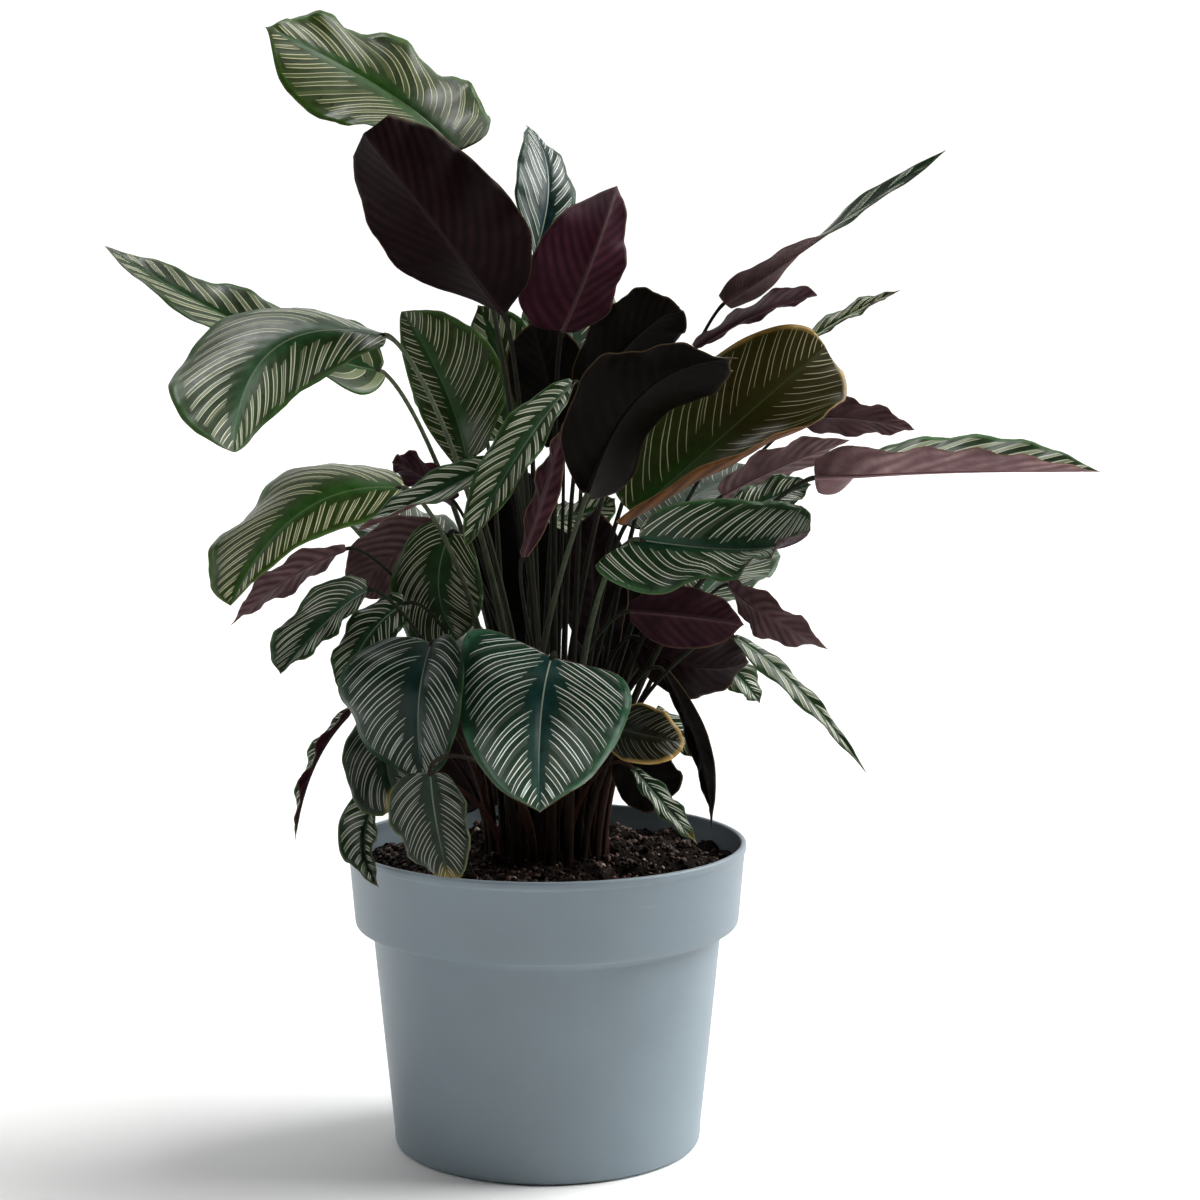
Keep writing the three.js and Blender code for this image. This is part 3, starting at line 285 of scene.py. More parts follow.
# What each leaf shows besides its shape. green: 0 deep blue-green to 1 olive; pale: how much of a stripe
# pair is filled with cream; worn: ochre rim; dry: dry yellow tip; plum: the underside, 0 black, 0.5 deep
# plum, 1 mauve, partly its own colour and partly painted light: near 0 it paints shade on undersides that
# stand in shadow, near 1 light on lit ones; stalk: 0 a dark stalk, 1 a fresh grey-green one, partly its
# own colour and partly painted light: dark for stalks in shade, grey-green for lit ones; then how light
# the blade is, a factor that paints light and shade on the whole blade, under 1 for blades in shade and
# over 1 for lit ones; sweep: how far the veins lean forward; pairs: stripe pairs on each half, where they
# differ from what the blade's length gives.
LOOKS = {
    "crown_left": dict(green=1.0, pale=0.3, worn=0.1, stalk=0.6, pairs=14, painted_light=0.66, sweep=1.3),
    "crown_dark": dict(plum=0.1, stalk=0.3, sweep=1.6),
    "crown_pale": dict(green=0.0, pale=0.35, plum=0.4, pairs=9, sweep=2.0),
    "crown_plum": dict(plum=0.5, sweep=1.6),
    "crown_black": dict(plum=0.0),
    "centre_dark": dict(green=0.6, pale=0.9, plum=0.0, stalk=0.45, painted_light=0.7, sweep=1.2),
    "right_olive": dict(green=1.0, pale=0.0, worn=0.9, dry=0.0, pairs=12, painted_light=0.72),
    "right_long": dict(green=0.5, pale=1.0, plum=0.95, painted_light=1.35, sweep=2.2, pairs=10),
    "right_mauve": dict(plum=0.95, sweep=1.6),
    "right_tongue": dict(plum=0.7, sweep=1.6),
    "right_sliver": dict(green=0.8, pale=0.9, plum=0.6, sweep=2.2, pairs=8),
    "spear_top": dict(green=0.3, pale=1.0, plum=0.85, pairs=6, sweep=2.4),
    "spear_plum": dict(plum=0.55),
    "front_centre": dict(green=0.1, pale=0.15, pairs=13, worn=0.05, painted_light=1.2),
    "front_left": dict(green=0.12, pale=0.05, pairs=12, painted_light=0.55),
    "front_left_lower": dict(green=0.3, pale=0.0, plum=0.2, worn=0.15, dry=1.0, painted_light=0.3),
    "rim_left": dict(green=0.3, pale=0.0, plum=0.2, worn=0.25, dry=1.0, pairs=10, painted_light=0.35),
    "rim_crumpled": dict(green=0.3, pale=0.6, plum=0.0, worn=0.2, painted_light=0.7),
    "front_right": dict(green=0.35, stalk=0.5, pairs=16),
    "arched_left": dict(green=0.6, pale=0.4, plum=0.05, stalk=1.0, pairs=15, painted_light=0.9),
    "left_large": dict(green=0.9, pale=0.35, worn=0.15, stalk=0.6, pairs=16, painted_light=0.9),
    "long_left": dict(green=0.7, pale=0.8, stalk=1.0, pairs=12, sweep=1.8),
    "upright_left": dict(green=0.8, pale=0.1, plum=0.2, stalk=1.0, pairs=14, painted_light=0.65),
    "upright_pale": dict(green=0.6, pale=1.0, pairs=8),
    "low_right_round": dict(green=0.6, pale=0.0, plum=0.1, worn=0.85, dry=0.3, pairs=8, painted_light=0.25),
    "low_right_narrow": dict(green=0.3, plum=0.2, worn=0.05, dry=1.0, sweep=2.4, pairs=8),
    "right_hanging": dict(pale=1.0, sweep=2.4, pairs=8),
    "slanting_centre": dict(green=0.5, pale=0.7, plum=0.2, pairs=15, painted_light=0.7, sweep=1.6),
    "rolled_young": dict(plum=0.55, worn=0.5, dry=0.0),
    "pale_centre": dict(green=0.6, pale=1.0, plum=0.2),
    "mauve_left": dict(plum=1.0, sweep=1.6),
    "left_plum": dict(plum=0.85, sweep=1.6),
    "edge_left": dict(pale=0.8, plum=0.75, sweep=1.8),
    "inner_left": dict(green=0.6, pale=0.0, plum=0.1, pairs=12, painted_light=0.6),
    "right_plum_inner": dict(plum=0.55, painted_light=0.65),
    "right_plum_outer": dict(plum=0.75),
    # Below, plum near 0 paints undersides black and a low lightness paints blades dark: painted shade on
    # leaves that stand in shadow inside the clump.
    "right_black": dict(plum=0.1),
    "right_drooping": dict(plum=0.0),
    "low_right_black": dict(plum=0.0),
    "inner_black": dict(plum=0.0),
    "left_narrow": dict(painted_light=0.75, sweep=2.0),
    "back_middle": dict(plum=0.0),
    "back_right_high": dict(painted_light=0.4),
    "back_low_left": dict(plum=0.15),
    "back_low_right": dict(plum=0.0),
    "back_inner_right": dict(plum=0.1),
}
# Leaves without a row of their own: a lightness of 0.85 and a dark stalk paint them a little into shade.
PLAIN_LOOK = dict(green=0.4, pale=0.2, worn=0.08, dry=0.1, plum=0.3, stalk=0.1, painted_light=0.85, sweep=1.15)


# ---------------------------------------------------------------- curves and grids
def unit(v):
    """Each vector over its own length."""
    return v / np.maximum(np.linalg.norm(v, axis=-1, keepdims=True), 1e-9)


def turned(v, axis, angle):
    """v turned about a unit axis: v cos + (axis x v) sin + axis (axis . v)(1 - cos)."""
    c, s = np.cos(angle)[..., None], np.sin(angle)[..., None]
    along = np.sum(axis * v, -1, keepdims=True)
    return v * c + np.cross(axis, v) * s + axis * along * (1 - c)


def smooth(low, high, x):
    """0 below low, 1 above high, and the cubic 3t^2 - 2t^3 between."""
    t = np.clip((x - low) / (high - low), 0, 1)
    return t * t * (3 - 2 * t)


def grid_corners(rows, cols, around=False):
    """The row and column of each corner of each quad of a grid. With around, columns close on themselves."""
    r, c = np.meshgrid(np.arange(rows - 1), np.arange(cols if around else cols - 1), indexing="ij")
    return (np.stack([r, r + 1, r + 1, r], -1).reshape(-1, 4),
            np.stack([c, c, c + 1, c + 1], -1).reshape(-1, 4))


class Shell:
    """Collects points and faces, then makes them one mesh object with a UV map and point attributes."""

    def __init__(self):
        self.points, self.faces, self.uvs, self.slots, self.marks, self.count = [], [], [], [], [], 0

    def add(self, points, corners, uv, slot=0, marks=None):
        """points: n x 3; corners: faces as rows of point numbers; uv: one pair for each face corner;
        marks: named values, one for each point."""
        self.points.append(points)
        self.faces.append(corners + self.count)
        self.uvs.append(uv)
        self.slots.append(np.full(len(corners), slot))
        self.marks.append({key: value.ravel() for key, value in (marks or {}).items()})
        self.count += len(points)

    def grid(self, grid, slot=0, around=False, uv=None, marks=None):
        """A rows x cols x 3 grid of points. The UV is row and column as shares, unless given."""
        rows, cols = grid.shape[:2]
        r, c = grid_corners(rows, cols, around)
        wide = cols if around else cols - 1
        if uv is None:
            pair = np.stack([r / (rows - 1), c / wide], -1)
        else:
            pair = uv[r, c % cols]
        self.add(grid.reshape(-1, 3), r * cols + c % cols, pair, slot, marks)

    def piece(self, name, materials, values=None):
        """The mesh object. values: attributes that are the same at every point of the piece."""
        points = np.concatenate(self.points)
        sizes = np.concatenate([np.full(len(f), f.shape[1]) for f in self.faces])
        corners = np.concatenate([f.ravel() for f in self.faces])
        uvs = np.concatenate([u.reshape(-1, 2) for u in self.uvs])
        mesh = bpy.data.meshes.new(name)
        mesh.vertices.add(len(points))
        mesh.vertices.foreach_set("co", (points * MM).astype(np.float32).ravel())
        mesh.loops.add(len(corners))
        mesh.loops.foreach_set("vertex_index", corners.astype(np.int32))
        mesh.polygons.add(len(sizes))
        mesh.polygons.foreach_set("loop_start", (np.cumsum(sizes) - sizes).astype(np.int32))
        mesh.polygons.foreach_set("loop_total", sizes.astype(np.int32))
        mesh.polygons.foreach_set("material_index", np.concatenate(self.slots).astype(np.int32))
        mesh.polygons.foreach_set("use_smooth", np.ones(len(sizes), bool))
        mesh.update(calc_edges=True)
        mesh.uv_layers.new(name="UVMap").data.foreach_set("uv", uvs.astype(np.float32).ravel())
        marked = {key for marks in self.marks for key in marks}
        values = dict(values or {})
        for key in sorted(marked):
            parts = [m.get(key, np.zeros(len(p))) for m, p in zip(self.marks, self.points)]
            values[key] = np.concatenate(parts)
        for key, value in values.items():
            layer = mesh.attributes.new(key, "FLOAT", "POINT")
            layer.data.foreach_set("value", np.broadcast_to(value, len(points)).astype(np.float32))
        for material in materials:
            mesh.materials.append(material)
        mesh.validate()
        piece = bpy.data.objects.new(name, mesh)
        bpy.context.scene.collection.objects.link(piece)
        return piece


# ---------------------------------------------------------------- leaf surfaces
def settle(blade):
    """Adds what follows from a row: the midrib's control point, bend axis, middle normal and length."""
    base, mid, tip = blade["base"], blade["mid"], blade["tip"]
    blade["pull"] = 2 * mid - (base + tip) / 2
    blade["chord"] = unit(tip - base)
    blade["bend"] = unit(np.cross(blade["pull"] - base, tip - blade["pull"]))
    blade["normal"] = unit(blade["face"] - (blade["face"] @ blade["chord"]) * blade["chord"])
    steps = rib_point(blade, np.linspace(0, 1, 41))
    blade["length"] = np.linalg.norm(np.diff(steps, axis=0), axis=1).sum()


def rib_point(blade, t):
    """The midrib: a quadratic curve from base to tip, pulled so that it passes through mid."""
    t = np.asarray(t, float)[..., None]
    return (1 - t) ** 2 * blade["base"] + 2 * t * (1 - t) * blade["pull"] + t**2 * blade["tip"]


def rib_frame(blade, t):
    """Along, up and side directions at t. Up turns with the curve, then about it by the twists."""
    t = np.asarray(t, float)
    e = t[..., None]
    along = unit((1 - e) * (blade["pull"] - blade["base"]) + e * (blade["tip"] - blade["pull"]))
    turn = np.arctan2(np.sum(np.cross(blade["chord"], along) * blade["bend"], -1), along @ blade["chord"])
    up = turned(np.broadcast_to(blade["normal"], along.shape), blade["bend"], turn)
    up = unit(up - np.sum(up * along, -1, keepdims=True) * along)
    twist = blade["twist"] * (t - 0.5) + blade["neck"] * (1 - smooth(0, 0.3, t))
    up = turned(up, along, twist + blade["nose"] * smooth(0.7, 1, t))
    return along, up, np.cross(along, up)


def blade_width(blade, s, v):
    """Half the blade's width: a power of a sine out to the widest place, then a power of a cosine down to
    the tip."""
    share = np.sin(np.pi / 2 * np.clip(s / blade["wide"], 0, 1)) ** blade["full"]
    grow = blade["lobe"] + (1 - blade["lobe"]) * share
    past = np.clip((s - blade["wide"]) / (1 - blade["wide"]), 0, 1) ** 1.1
    return blade["half"][(v > 0).astype(int)] * grow * np.cos(np.pi / 2 * past) ** blade["point"]


def blade_point(blade, s, v):
    """s runs along the midrib, v from the left margin (-1) to the right (1). Side veins lean back at the
    base and forward at the tip. Across, each half is an arc that leaves the midrib at the fold angle and
    turns by the curl, then by the hem, with a sine wave that grows towards the margin."""
    side, reach = (v > 0).astype(int), np.abs(v)
    width = blade_width(blade, s, v)
    lean = -blade["ear"][side] + (0.8 + blade["ear"][side]) * s
    t = np.clip(s + width * (lean * reach + 0.3 * reach**2) / blade["length"], -0.25, 1)
    _, up, across_way = rib_frame(blade, t)
    fold = blade["fold"][side] + (blade["open"] - blade["fold"])[side] * s
    per_mm = blade["curl"][side] / blade["half"][side]
    bent = fold + per_mm * width * np.minimum(reach, HEM_START)
    across = (np.sin(bent) - np.sin(fold)) / per_mm
    rise = (np.cos(fold) - np.cos(bent)) / per_mm
    hem = blade["hem"][side] * smooth(0.02, 0.2, s) * (1 - smooth(0.8, 0.98, s))
    hem_per_mm = per_mm + hem / np.maximum(width * (1 - HEM_START), 0.001)
    angle = bent + hem_per_mm * width * np.maximum(reach - HEM_START, 0)
    across = across + (np.sin(angle) - np.sin(bent)) / hem_per_mm
    rise = rise + (np.cos(bent) - np.cos(angle)) / hem_per_mm
    fade = np.sin(np.pi * np.clip(0.9 * s + 0.08, 0, 1))
    phase = 2 * np.pi * blade["waves"] * s + np.where(v > 0, 0, 1.7)
    ripple = reach**2.2 * np.sin(phase) + 0.16 * reach**5 * np.sin(3.3 * phase + 2.0 * blade["seed"])
    ripple = blade["wave"][side] * ripple * fade
    across = across - ripple * np.sin(angle)
    rise = rise + ripple * np.cos(angle)
    return rib_point(blade, t) + (np.sign(v) * across)[..., None] * across_way + rise[..., None] * up


def vein_row(blade, s, v):
    """Counts the lateral veins along the blade. A vein leaves the midrib nearly square at the base and leans
    more and more forward towards the tip, so a point belongs to the vein that left the midrib this much
    nearer the base. In the lobes behind the base the count goes on backwards."""
    reach = np.abs(v)
    share = blade_width(blade, s, v) / blade["length"]
    ear = blade["ear"][(v > 0).astype(int)]
    lean = -ear + (0.8 + ear) * s
    swept = share * (reach * (blade["sweep"] * (0.2 + s) - lean) + 0.12 * reach**2)
    return (s - swept) * blade["pairs"] + np.where(v > 0, RIGHT_SHIFT, 0.0) + COUNT_START


def blade_grid(blade):
    """Upper and lower points of the blade. The middle surface swells between lateral veins and is furrowed
    over the midrib. The blade is BLADE_THICK thick and thins out at the margin and the tip. pitch is the
    distance in mm from one lateral vein to the next: one over the slope of their count on the surface."""
    s = 1 - (1 - np.linspace(0, 1, BLADE_ROWS)) ** ROW_CROWDING
    x = np.linspace(-1, 1, BLADE_COLS)
    s, v = np.meshgrid(s, np.sign(x) * np.abs(x) ** COL_CROWDING, indexing="ij")
    s = np.minimum(s, LAST_ROW)
    middle = blade_point(blade, s, v)
    ahead, across = np.gradient(middle, axis=0), np.gradient(middle, axis=1)
    _, up, _ = rib_frame(blade, s)
    normal = unit(unit(np.cross(across, ahead)) + 0.02 * up)
    reach = np.abs(v)
    mm = reach * blade_width(blade, s, v)
    calm = smooth(0, 0.12, s) * (1 - smooth(0.86, 1, s))
    calm = calm * smooth(0.03, 0.25, reach) * (1 - smooth(0.8, 1, reach))
    swell = QUILT * (np.abs(np.sin(np.pi * vein_row(blade, s, v))) ** 0.8 - 0.5) * calm
    furrow = -FURROW_DEPTH * np.exp(-(mm / FURROW_WIDTH) ** 2) * (1 - smooth(0.55, 1, s))
    middle = middle + (swell + furrow)[..., None] * normal
    thick = (BLADE_THICK - MARGIN_THINNER * smooth(0.7, 1, reach))[..., None]
    thick = thick * (1 - 0.6 * smooth(0.95, 1, s))[..., None]
    edge = (1 - reach) * blade_width(blade, s, v)
    row = vein_row(blade, s, v)
    row_ahead = np.gradient(row, axis=0)
    row_across = np.gradient(row - np.where(v > 0, RIGHT_SHIFT, 0), axis=1)
    a, b, c = np.sum(ahead**2, -1), np.sum(ahead * across, -1), np.sum(across**2, -1)
    steep = (c * row_ahead**2 - 2 * b * row_ahead * row_across + a * row_across**2) / (a * c - b**2 + 1e-6)
    pitch = np.clip(1 / np.sqrt(np.maximum(steep, 1e-6)), 4, 25)
    marks = dict(row=row, pitch=pitch, rib=mm, edge=edge)
    return s, v, middle + normal * thick / 2, middle - normal * thick / 2, marks


def stalk_start(blade):
    """The stalk's place in the soil: its ring and slot as a point on the soil."""
    ring, slot = blade["root"]
    count, turn = ROOT_RINGS[ring]
    angle = np.radians(turn + 360 * slot / count - 180)
    return np.array([ring * ROOT_STEP * np.cos(angle), ring * ROOT_STEP * np.sin(angle), SOIL_Z])


def stalk_tube(blade):
    """A tube up a cubic curve from the soil into the midrib, then on under the blade as its keel. Its foot
    is a sheath, flattened and wide, and it thickens again just below the blade."""
    start = stalk_start(blade)
    span = np.linalg.norm(blade["base"] - start)
    rising = start + np.array([*blade["bow"], STALK_RISE * span])
    along0, up0, _ = rib_frame(blade, np.array(0.0))
    arriving = blade["base"] - along0 * min(STALK_ARRIVE, 0.3 * span)
    t = np.linspace(0, 1, STALK_ROWS)[:, None]
    line = (1 - t) ** 3 * start + 3 * t * (1 - t) ** 2 * rising
    line = line + 3 * t**2 * (1 - t) * arriving + t**3 * blade["base"]
    foot = start + np.array([[0, 0, FOOT_Z - SOIL_Z]])
    under = np.linspace(0, 0.94, KEEL_ROWS + 1)[1:]
    _, up, _ = rib_frame(blade, under)
    keel = 1.3 * (1 - under) ** 0.8 * np.clip(blade["half"].max() / 34, 0.6, 1)
    line = np.concatenate([foot, line, rib_point(blade, under) - up * (0.45 + keel)[:, None]])
    t = np.concatenate([[0], t[:, 0]])
    size = np.clip(blade["half"].max() / 30, 0.75, 1)
    thin = size * (STALK_FOOT_R + (STALK_TOP_R - STALK_FOOT_R) * smooth(0, 0.75, t))
    thin = thin * (1 + 0.22 * np.exp(-(((t - 0.97) * span) / 9) ** 2))
    radius = np.concatenate([thin, keel])
    ahead = unit(np.gradient(line, axis=0))
    blend = smooth(0.5, 0.95, np.concatenate([t, np.ones(KEEL_ROWS)]))[:, None]
    out = unit(np.array([start[0] + 1e-3, start[1], 0.0]))
    way = (1 - blend) * out + blend * up0
    way[STALK_ROWS + 1:] = up
    up_way = unit(way - np.sum(way * ahead, -1, keepdims=True) * ahead)
    side_way = np.cross(ahead, up_way)
    angle = np.linspace(0, 2 * np.pi, STALK_SIDES, endpoint=False)
    wide = 1 + 0.22 * np.concatenate([1 - smooth(0.1, 0.45, t), np.zeros(KEEL_ROWS)])
    ring = radius[:, None, None] * (np.cos(angle)[None, :, None] * (side_way * wide[:, None])[:, None]
                                    + np.sin(angle)[None, :, None] * (up_way / wide[:, None])[:, None])
    return line[:, None] + ring, line


def make_leaf(blade, materials):
    """One leaf: the blade's upper and lower grids joined by a rim, the stalk with both ends closed, and the
    keel that the stalk becomes under the blade."""
    shell = Shell()
    s, v, upper, lower, marks = blade_grid(blade)
    uv = np.stack([s, (v + 1) / 2], -1)
    shell.grid(upper[:, ::-1], 0, uv=uv[:, ::-1], marks={key: m[:, ::-1] for key, m in marks.items()})
    shell.grid(lower, 1, uv=uv, marks=marks)
    for rim_upper, rim_lower, rim_uv, flip in (
        (upper[0], lower[0], uv[0], False), (upper[-1], lower[-1], uv[-1], True),
        (upper[:, 0], lower[:, 0], uv[:, 0], True), (upper[:, -1], lower[:, -1], uv[:, -1], False),
    ):
        strip, strip_uv = np.stack([rim_lower, rim_upper]), np.stack([rim_uv, rim_uv])
        if flip:
            strip, strip_uv = strip[:, ::-1], strip_uv[:, ::-1]
        shell.grid(strip, 1, uv=strip_uv)
    tube, line = stalk_tube(blade)
    keel_start = tube.shape[0] - KEEL_ROWS - 1
    shell.grid(tube[:keel_start + 1], 2, around=True)
    keel = tube[keel_start:]
    flat = np.zeros(keel.shape[:2])
    shell.grid(keel, 1, around=True, marks=dict(row=flat + 0.3, rib=flat, edge=flat + 50, pitch=flat + 12))
    for end, order in ((0, 1), (-1, -1)):
        ring = np.concatenate([tube[end], line[end][None]])
        first = np.arange(STALK_SIDES)
        fan = np.stack([first, np.roll(first, -1), np.full(STALK_SIDES, STALK_SIDES)], -1)
        shell.add(ring, fan[:, ::order], np.full((STALK_SIDES, 3, 2), 0.0 if end == 0 else 1.0), 2)
    values = {key: blade[key] for key in ("green", "pale", "worn", "dry", "plum", "stalk", "painted_light", "seed")}
    piece = shell.piece("calathea_" + blade["name"], materials, values)
    weld(piece, LEAF_WELD)
    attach(piece, "root")
    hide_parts("leaf_" + blade["name"])


def weld(piece, distance):
    """Joins the points that two grids share, and turns every closed shell outwards."""
    held = bmesh.new()
    held.from_mesh(piece.data)
    bmesh.ops.remove_doubles(held, verts=held.verts, dist=distance)
    bmesh.ops.recalc_face_normals(held, faces=held.faces)
    held.to_mesh(piece.data)
    held.free()


# ---------------------------------------------------------------- materials
def linear(hex_colour):
    """An sRGB hex colour as linear red, green, blue and 1."""
    part = np.array([int(hex_colour[i:i + 2], 16) / 255 for i in (1, 3, 5)])
    return (*np.where(part <= 0.04045, part / 12.92, ((part + 0.055) / 1.055) ** 2.4), 1.0)


def add(tree, kind, *inputs, out=0, **settings):
    """Adds a node, applies its settings, and links or sets its inputs in order. None leaves one alone."""
    node = tree.nodes.new("ShaderNode" + kind)
    for key, value in settings.items():
        setattr(node, key, value)
    for socket, value in zip(node.inputs, inputs):
        if isinstance(value, bpy.types.NodeSocket):
            tree.links.new(value, socket)
        elif value is not None:
            socket.default_value = value
    return node.outputs if out is None else node.outputs[out]


def material(name, build):
    """A material whose build function adds nodes to a tree and fills the Principled shader's sockets."""
    made = bpy.data.materials.new(name)
    made.use_nodes = True
    tree = made.node_tree
    tree.nodes.clear()
    shader = tree.nodes.new("ShaderNodeBsdfPrincipled")
    output = tree.nodes.new("ShaderNodeOutputMaterial")
    tree.links.new(shader.outputs[0], output.inputs[0])
    for key, value in build(tree).items():
        if isinstance(value, bpy.types.NodeSocket):
            tree.links.new(value, shader.inputs[key])
        else:
            shader.inputs[key].default_value = value
    return made


def leaf_upper(tree):
    """The upper side of a calathea blade: deep green under a waxy cuticle, with pairs of thin cream pin
    stripes between the lateral veins. Rows, their distance in mm, and mm from midrib and margin come with
    the mesh."""
    row, pitch, rib, edge, seed, green, pale, worn, dry, painted_light = (
        add(tree, "Attribute", attribute_name=name, out=2)
        for name in ("row", "pitch", "rib", "edge", "seed", "green", "pale", "worn", "dry", "painted_light"))
    place = add(tree, "TexCoord", out=3)
    along, across, _ = add(tree, "SeparateXYZ", add(tree, "UVMap", uv_map="UVMap"), out=None)
    reach = add(tree, "Math", across, 2.0, -1.0, operation="MULTIPLY_ADD")
    reach = add(tree, "Math", reach, operation="ABSOLUTE")

    # The row wanders a little, then splits into a cell number and the distance from the cell's middle.
    drift = add(tree, "TexNoise", place, None, METRE / 20, 1.0, 0.5)
    row = add(tree, "Math", drift, 0.16, row, operation="MULTIPLY_ADD")
    cell = add(tree, "Math", row, operation="FLOOR")
    off = add(tree, "Math", add(tree, "Math", row, operation="FRACT"), 0.5, operation="SUBTRACT")
    second_line = add(tree, "Math", off, 0.0, operation="GREATER_THAN")
    off = add(tree, "Math", off, operation="ABSOLUTE")
    own = add(tree, "Math", add(tree, "Math", seed, 97.0, operation="MULTIPLY"), operation="ROUND")
    key = add(tree, "CombineXYZ", cell, own, 0.0)
    dice = add(tree, "TexWhiteNoise", key, noise_dimensions="3D", out=1)
    first, second, third = add(tree, "SeparateColor", dice, out=None)

    # A stripe starts short of the midrib, ends short of the margin, and is 0.25 to 0.55 mm wide between,
    # with soft edges 0.12 mm wide. Stripes go in pairs that draw together towards the margin.
    begin = add(tree, "Math", first, 0.22, 0.07, operation="MULTIPLY_ADD")
    begin = add(tree, "Math", second_line, 0.035, begin, operation="MULTIPLY_ADD")
    begun = add(tree, "Math", reach, begin, operation="SUBTRACT")
    begun = add(tree, "MapRange", begun, 0.0, 0.16, 0.0, 1.0)
    end = add(tree, "Math", second, -0.14, 0.96, operation="MULTIPLY_ADD")
    ended = add(tree, "Math", end, reach, operation="SUBTRACT")
    ended = add(tree, "MapRange", ended, 0.0, 0.22, 0.0, 1.0)
    length = add(tree, "Math", begun, ended, operation="MULTIPLY")
    closing = add(tree, "MapRange", reach, 0.3, 1.0, 1.0, 0.75)
    spread = add(tree, "Math", third, 0.10, 0.165, operation="MULTIPLY_ADD")
    spread = add(tree, "Math", spread, closing, operation="MULTIPLY")
    width = add(tree, "Math", second, 0.15, 0.13, operation="MULTIPLY_ADD")
    width = add(tree, "Math", width, add(tree, "Math", length, 0.6, operation="POWER"), operation="MULTIPLY")
    outer = add(tree, "Math", add(tree, "Math", width, 0.12, operation="ADD"), pitch, operation="DIVIDE")
    width = add(tree, "Math", width, pitch, operation="DIVIDE")
    from_pair = add(tree, "Math", add(tree, "Math", off, spread, operation="SUBTRACT"), operation="ABSOLUTE")
    lines = add(tree, "MapRange", from_pair, width, outer, 1.0, 0.0)
    # One pair in eleven lacks its second line, three in ten have a fainter one midway, and all fade out
    # where half the blade is under 4.5 mm wide.
    lone = add(tree, "Math", add(tree, "Math", third, 0.91, operation="GREATER_THAN"), second_line,
               operation="MULTIPLY")
    lines = add(tree, "Math", lines, lone, operation="SUBTRACT")
    shown = add(tree, "MapRange", length, 0.0, 0.12, 0.0, 1.0)
    half_width = add(tree, "Math", rib, edge, operation="ADD")
    shown = add(tree, "Math", shown, add(tree, "MapRange", half_width, 2.0, 4.5), operation="MULTIPLY")
    lines = add(tree, "Math", lines, shown, operation="MULTIPLY")
    core = add(tree, "MapRange", off, add(tree, "Math", width, 0.3, operation="MULTIPLY"), outer, 0.6, 0.0)
    some = add(tree, "Math", first, 0.7, operation="GREATER_THAN")
    core = add(tree, "Math", core, some, operation="MULTIPLY")
    core = add(tree, "Math", core, shown, operation="MULTIPLY")
    lines = add(tree, "Math", lines, core, operation="MAXIMUM")
    within = add(tree, "Math", spread, 0.02, operation="SUBTRACT")
    inside = add(tree, "MapRange", off, within, spread, 1.0, 0.0)
    inside = add(tree, "Math", inside, shown, operation="MULTIPLY")
    inside = add(tree, "Math", inside, pale, operation="MULTIPLY")

    # Deep blue-green along the midrib, clearer green in a band at the margin.
    cool = add(tree, "MixRGB", green, linear("#102A20"), linear("#33451A"))
    fresh = add(tree, "MixRGB", green, linear("#1C5038"), linear("#477424"))
    deep = add(tree, "MixRGB", green, linear("#0F3034"), linear("#2E5A1C"))
    band = add(tree, "MapRange", reach, 0.84, 0.98, 0.0, 0.55, interpolation_type="SMOOTHSTEP")
    heart = add(tree, "MapRange", reach, 0.04, 0.30, 1.0, 0.0, interpolation_type="SMOOTHSTEP")
    colour = add(tree, "MixRGB", band, cool, fresh)
    colour = add(tree, "MixRGB", heart, colour, deep)
    mottle = add(tree, "TexNoise", place, None, METRE / 7, 3.0, 0.6)
    shade = add(tree, "MapRange", mottle, 0.3, 0.7, 0.75, 1.25)
    colour = add(tree, "MixRGB", 1.0, colour, shade, blend_type="MULTIPLY")
    aged = add(tree, "MapRange", along, 0.1, 0.5, 0.0, 0.95)
    aged = add(tree, "Math", aged, worn, operation="MULTIPLY")
    colour = add(tree, "MixRGB", aged, colour, linear("#322606"))
    filled = add(tree, "MixRGB", green, linear("#8A8F86"), linear("#8E9A62"))
    colour = add(tree, "MixRGB", add(tree, "Math", inside, 0.8, operation="MULTIPLY"), colour, filled)
    cream = add(tree, "MixRGB", third, linear("#E0EEE8"), linear("#D6DCD2"))
    cream = add(tree, "MixRGB", green, cream, linear("#DFDDB2"))
    bold = add(tree, "Math", aged, -0.5, 0.95, operation="MULTIPLY_ADD")
    colour = add(tree, "MixRGB", add(tree, "Math", lines, bold, operation="MULTIPLY"), colour, cream)

    # A pale midrib that fades towards the tip, and a thin rim: pale green, or ochre on older leaves, whose
    # tips dry to yellow and brown.
    midrib = add(tree, "MapRange", rib, 0.2, 0.6, 1.0, 0.0)
    lasting = add(tree, "MapRange", along, 0.4, 0.9, 0.8, 0.0)
    midrib = add(tree, "Math", midrib, lasting, operation="MULTIPLY")
    midrib_colour = add(tree, "MixRGB", green, linear("#B4BEA8"), linear("#5E6C44"))
    colour = add(tree, "MixRGB", midrib, colour, midrib_colour)
